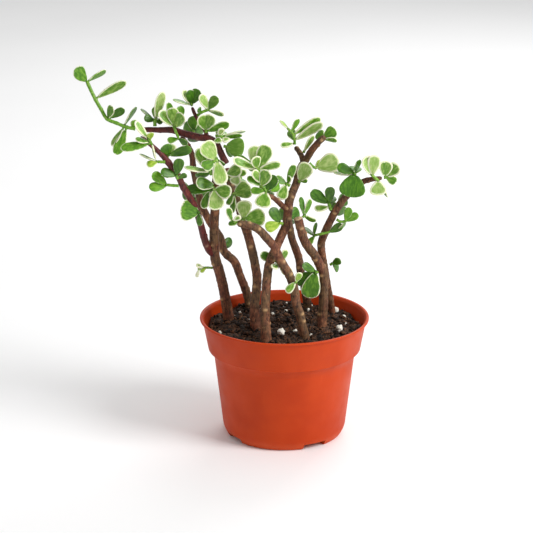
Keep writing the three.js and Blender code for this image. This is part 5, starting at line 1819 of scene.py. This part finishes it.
    def build_grains(self, perlite: bpy.types.Material) -> list[bpy.types.Object]:
        """Makes the two large perlite grains and the smaller specks.

        Args:
            perlite: their material.

        Returns:
            The pieces.
        """
        pieces = []
        for number, (x, y, size) in enumerate(self.grains, 1):
            draft = Draft()
            centre = Vector((x, y, self.top(x, y) + size / 2 + 0.5))
            self.lump_of(draft, centre, Vector((0.5, 0.43, 0.4)) * size, 1, 0, 0.5, 3)
            node = f"perlite_grain_{number}"
            pieces.append(settle(draft.build(f"lump_{number}", [perlite]), "perlite", node))
        draft = Draft()
        for across, high, size in PERLITE_SPECKS:
            back = min((high - self.height) / CROWN_FALL, math.sqrt(
                self.speck_limit ** 2 - across ** 2))
            x, y = place(across, back, high).xy
            self._speck(draft, x, y, size)
        for _ in range(self.loose_specks):
            spread = self.speck_spread * math.sqrt(self.chance.random())
            x, y = polar(spread, self.chance.uniform(0, math.pi))
            self._speck(draft, x, y, self.chance.uniform(0.8, 2.2))
        pieces.append(settle(draft.build("perlite_specks", [perlite]), "perlite"))
        return pieces


def settle(piece: bpy.types.Object, slot: str, *nodes: str) -> bpy.types.Object:
    """Fixes a piece to the plant's body.

    Args:
        piece: the piece.
        slot: the record's material slot; not used.
        nodes: CAD nodes that it stands for.

    Returns:
        The piece.
    """
    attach(piece, "root")
    if nodes:
        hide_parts(*nodes)
    logger.info("%s: %d faces", piece.name, len(piece.data.polygons))
    return piece


@dataclass
class Studio:
    """Pale floor, soft light and the camera."""

    target: Row = (-10.8, 0, 104.9)
    distance: float = 1400
    elevation: float = 17.8
    view_width: float = 319.8
    sensor: float = 36

    def build(self) -> None:
        """Sets the floor, the lights and the camera."""
        self._floor()
        self._sky()
        self._lamp("window_light", Vector((900, -500, 840)), 560, 13.5)
        self._lamp("rim_light", Vector((300, 900, 800)), 700, 5)
        self._camera()

    def _floor(self) -> None:
        """Adds the floor."""
        draft = Draft()
        reach, count = 16000, 8
        rows = []
        for row in range(count + 1):
            y = reach * (2 * row / count - 1)
            rows.append([draft.add(Vector((reach * (2 * col / count - 1), y, -0.02)))
                         for col in range(count + 1)])
        for low, high in zip(rows, rows[1:]):
            for col in range(count):
                draft.face((low[col], low[col + 1], high[col + 1], high[col]))
        draft.build("studio_floor", [StudioPaper().build()])

    def _sky(self) -> None:
        """Sets even light from all round and plain colours."""
        bpy.context.scene.view_settings.view_transform = "Standard"
        world = bpy.data.worlds.new("studio_air")
        world.use_nodes = True
        world.node_tree.nodes["Background"].inputs["Color"].default_value = (1, 1, 1, 1)
        world.node_tree.nodes["Background"].inputs["Strength"].default_value = 0.54
        bpy.context.scene.world = world

    def _lamp(self, name: str, spot: Vector, size: float, power: float) -> None:
        """Adds a soft lamp that looks at the plant."""
        light = bpy.data.lights.new(name, "AREA")
        light.size = size * MM
        light.energy = power
        lamp = bpy.data.objects.new(name, light)
        lamp.location = spot * MM
        lamp.rotation_euler = (Vector(self.target) - spot).to_track_quat("-Z", "Y").to_euler()
        bpy.context.scene.collection.objects.link(lamp)

    def _camera(self) -> None:
        """Adds the camera in front of the plant and a little above it."""
        lens = bpy.data.cameras.new("view")
        lens.sensor_width = self.sensor
        lens.lens = self.sensor * self.distance / self.view_width
        lens.clip_end = 100
        camera = bpy.data.objects.new("view", lens)
        tilt = math.radians(self.elevation)
        away = Vector((0, -math.cos(tilt), math.sin(tilt))) * self.distance
        camera.location = (Vector(self.target) + away) * MM
        camera.rotation_euler = (-away).to_track_quat("-Z", "Y").to_euler()
        bpy.context.scene.collection.objects.link(camera)
        bpy.context.scene.camera = camera


def main() -> None:
    """Builds the pot, the mix, the stems and the leafy shoots in order."""
    logging.basicConfig(level=logging.INFO, format="%(name)s %(message)s")
    Studio().build()
    pot = NurseryPot()
    pot.build(PotPlastic().build())
    mix = PottingMix(pot)
    mix.build(DarkMix().build())
    mix.build_grains(PerliteGlass().build())
    cut = CutWood().build()
    bark = Bark("brown_bark", linear(112, 62, 40), linear(152, 100, 68), linear(38, 20, 13),
                linear(204, 164, 116), linear(102, 80, 50), 0.7).build()
    red_bark = Bark("red_bark", linear(96, 24, 26), linear(122, 46, 38), linear(48, 12, 14),
                    linear(150, 112, 90), linear(92, 36, 28), 0.5).build()
    for stem in BARK_STEMS:
        WoodyStem(stem).build(bark, cut, "bark", "woody")
    for stem in YOUNG_STEMS:
        WoodyStem(stem, ring_gap=9.0, unevenness=0.045).build(red_bark, cut, "young_bark", "red")
    flesh = LeafFlesh().build()
    for shoot in SHOOTS:
        LeafyShoot(shoot).build(flesh)


if __name__ == "__main__":
    main()
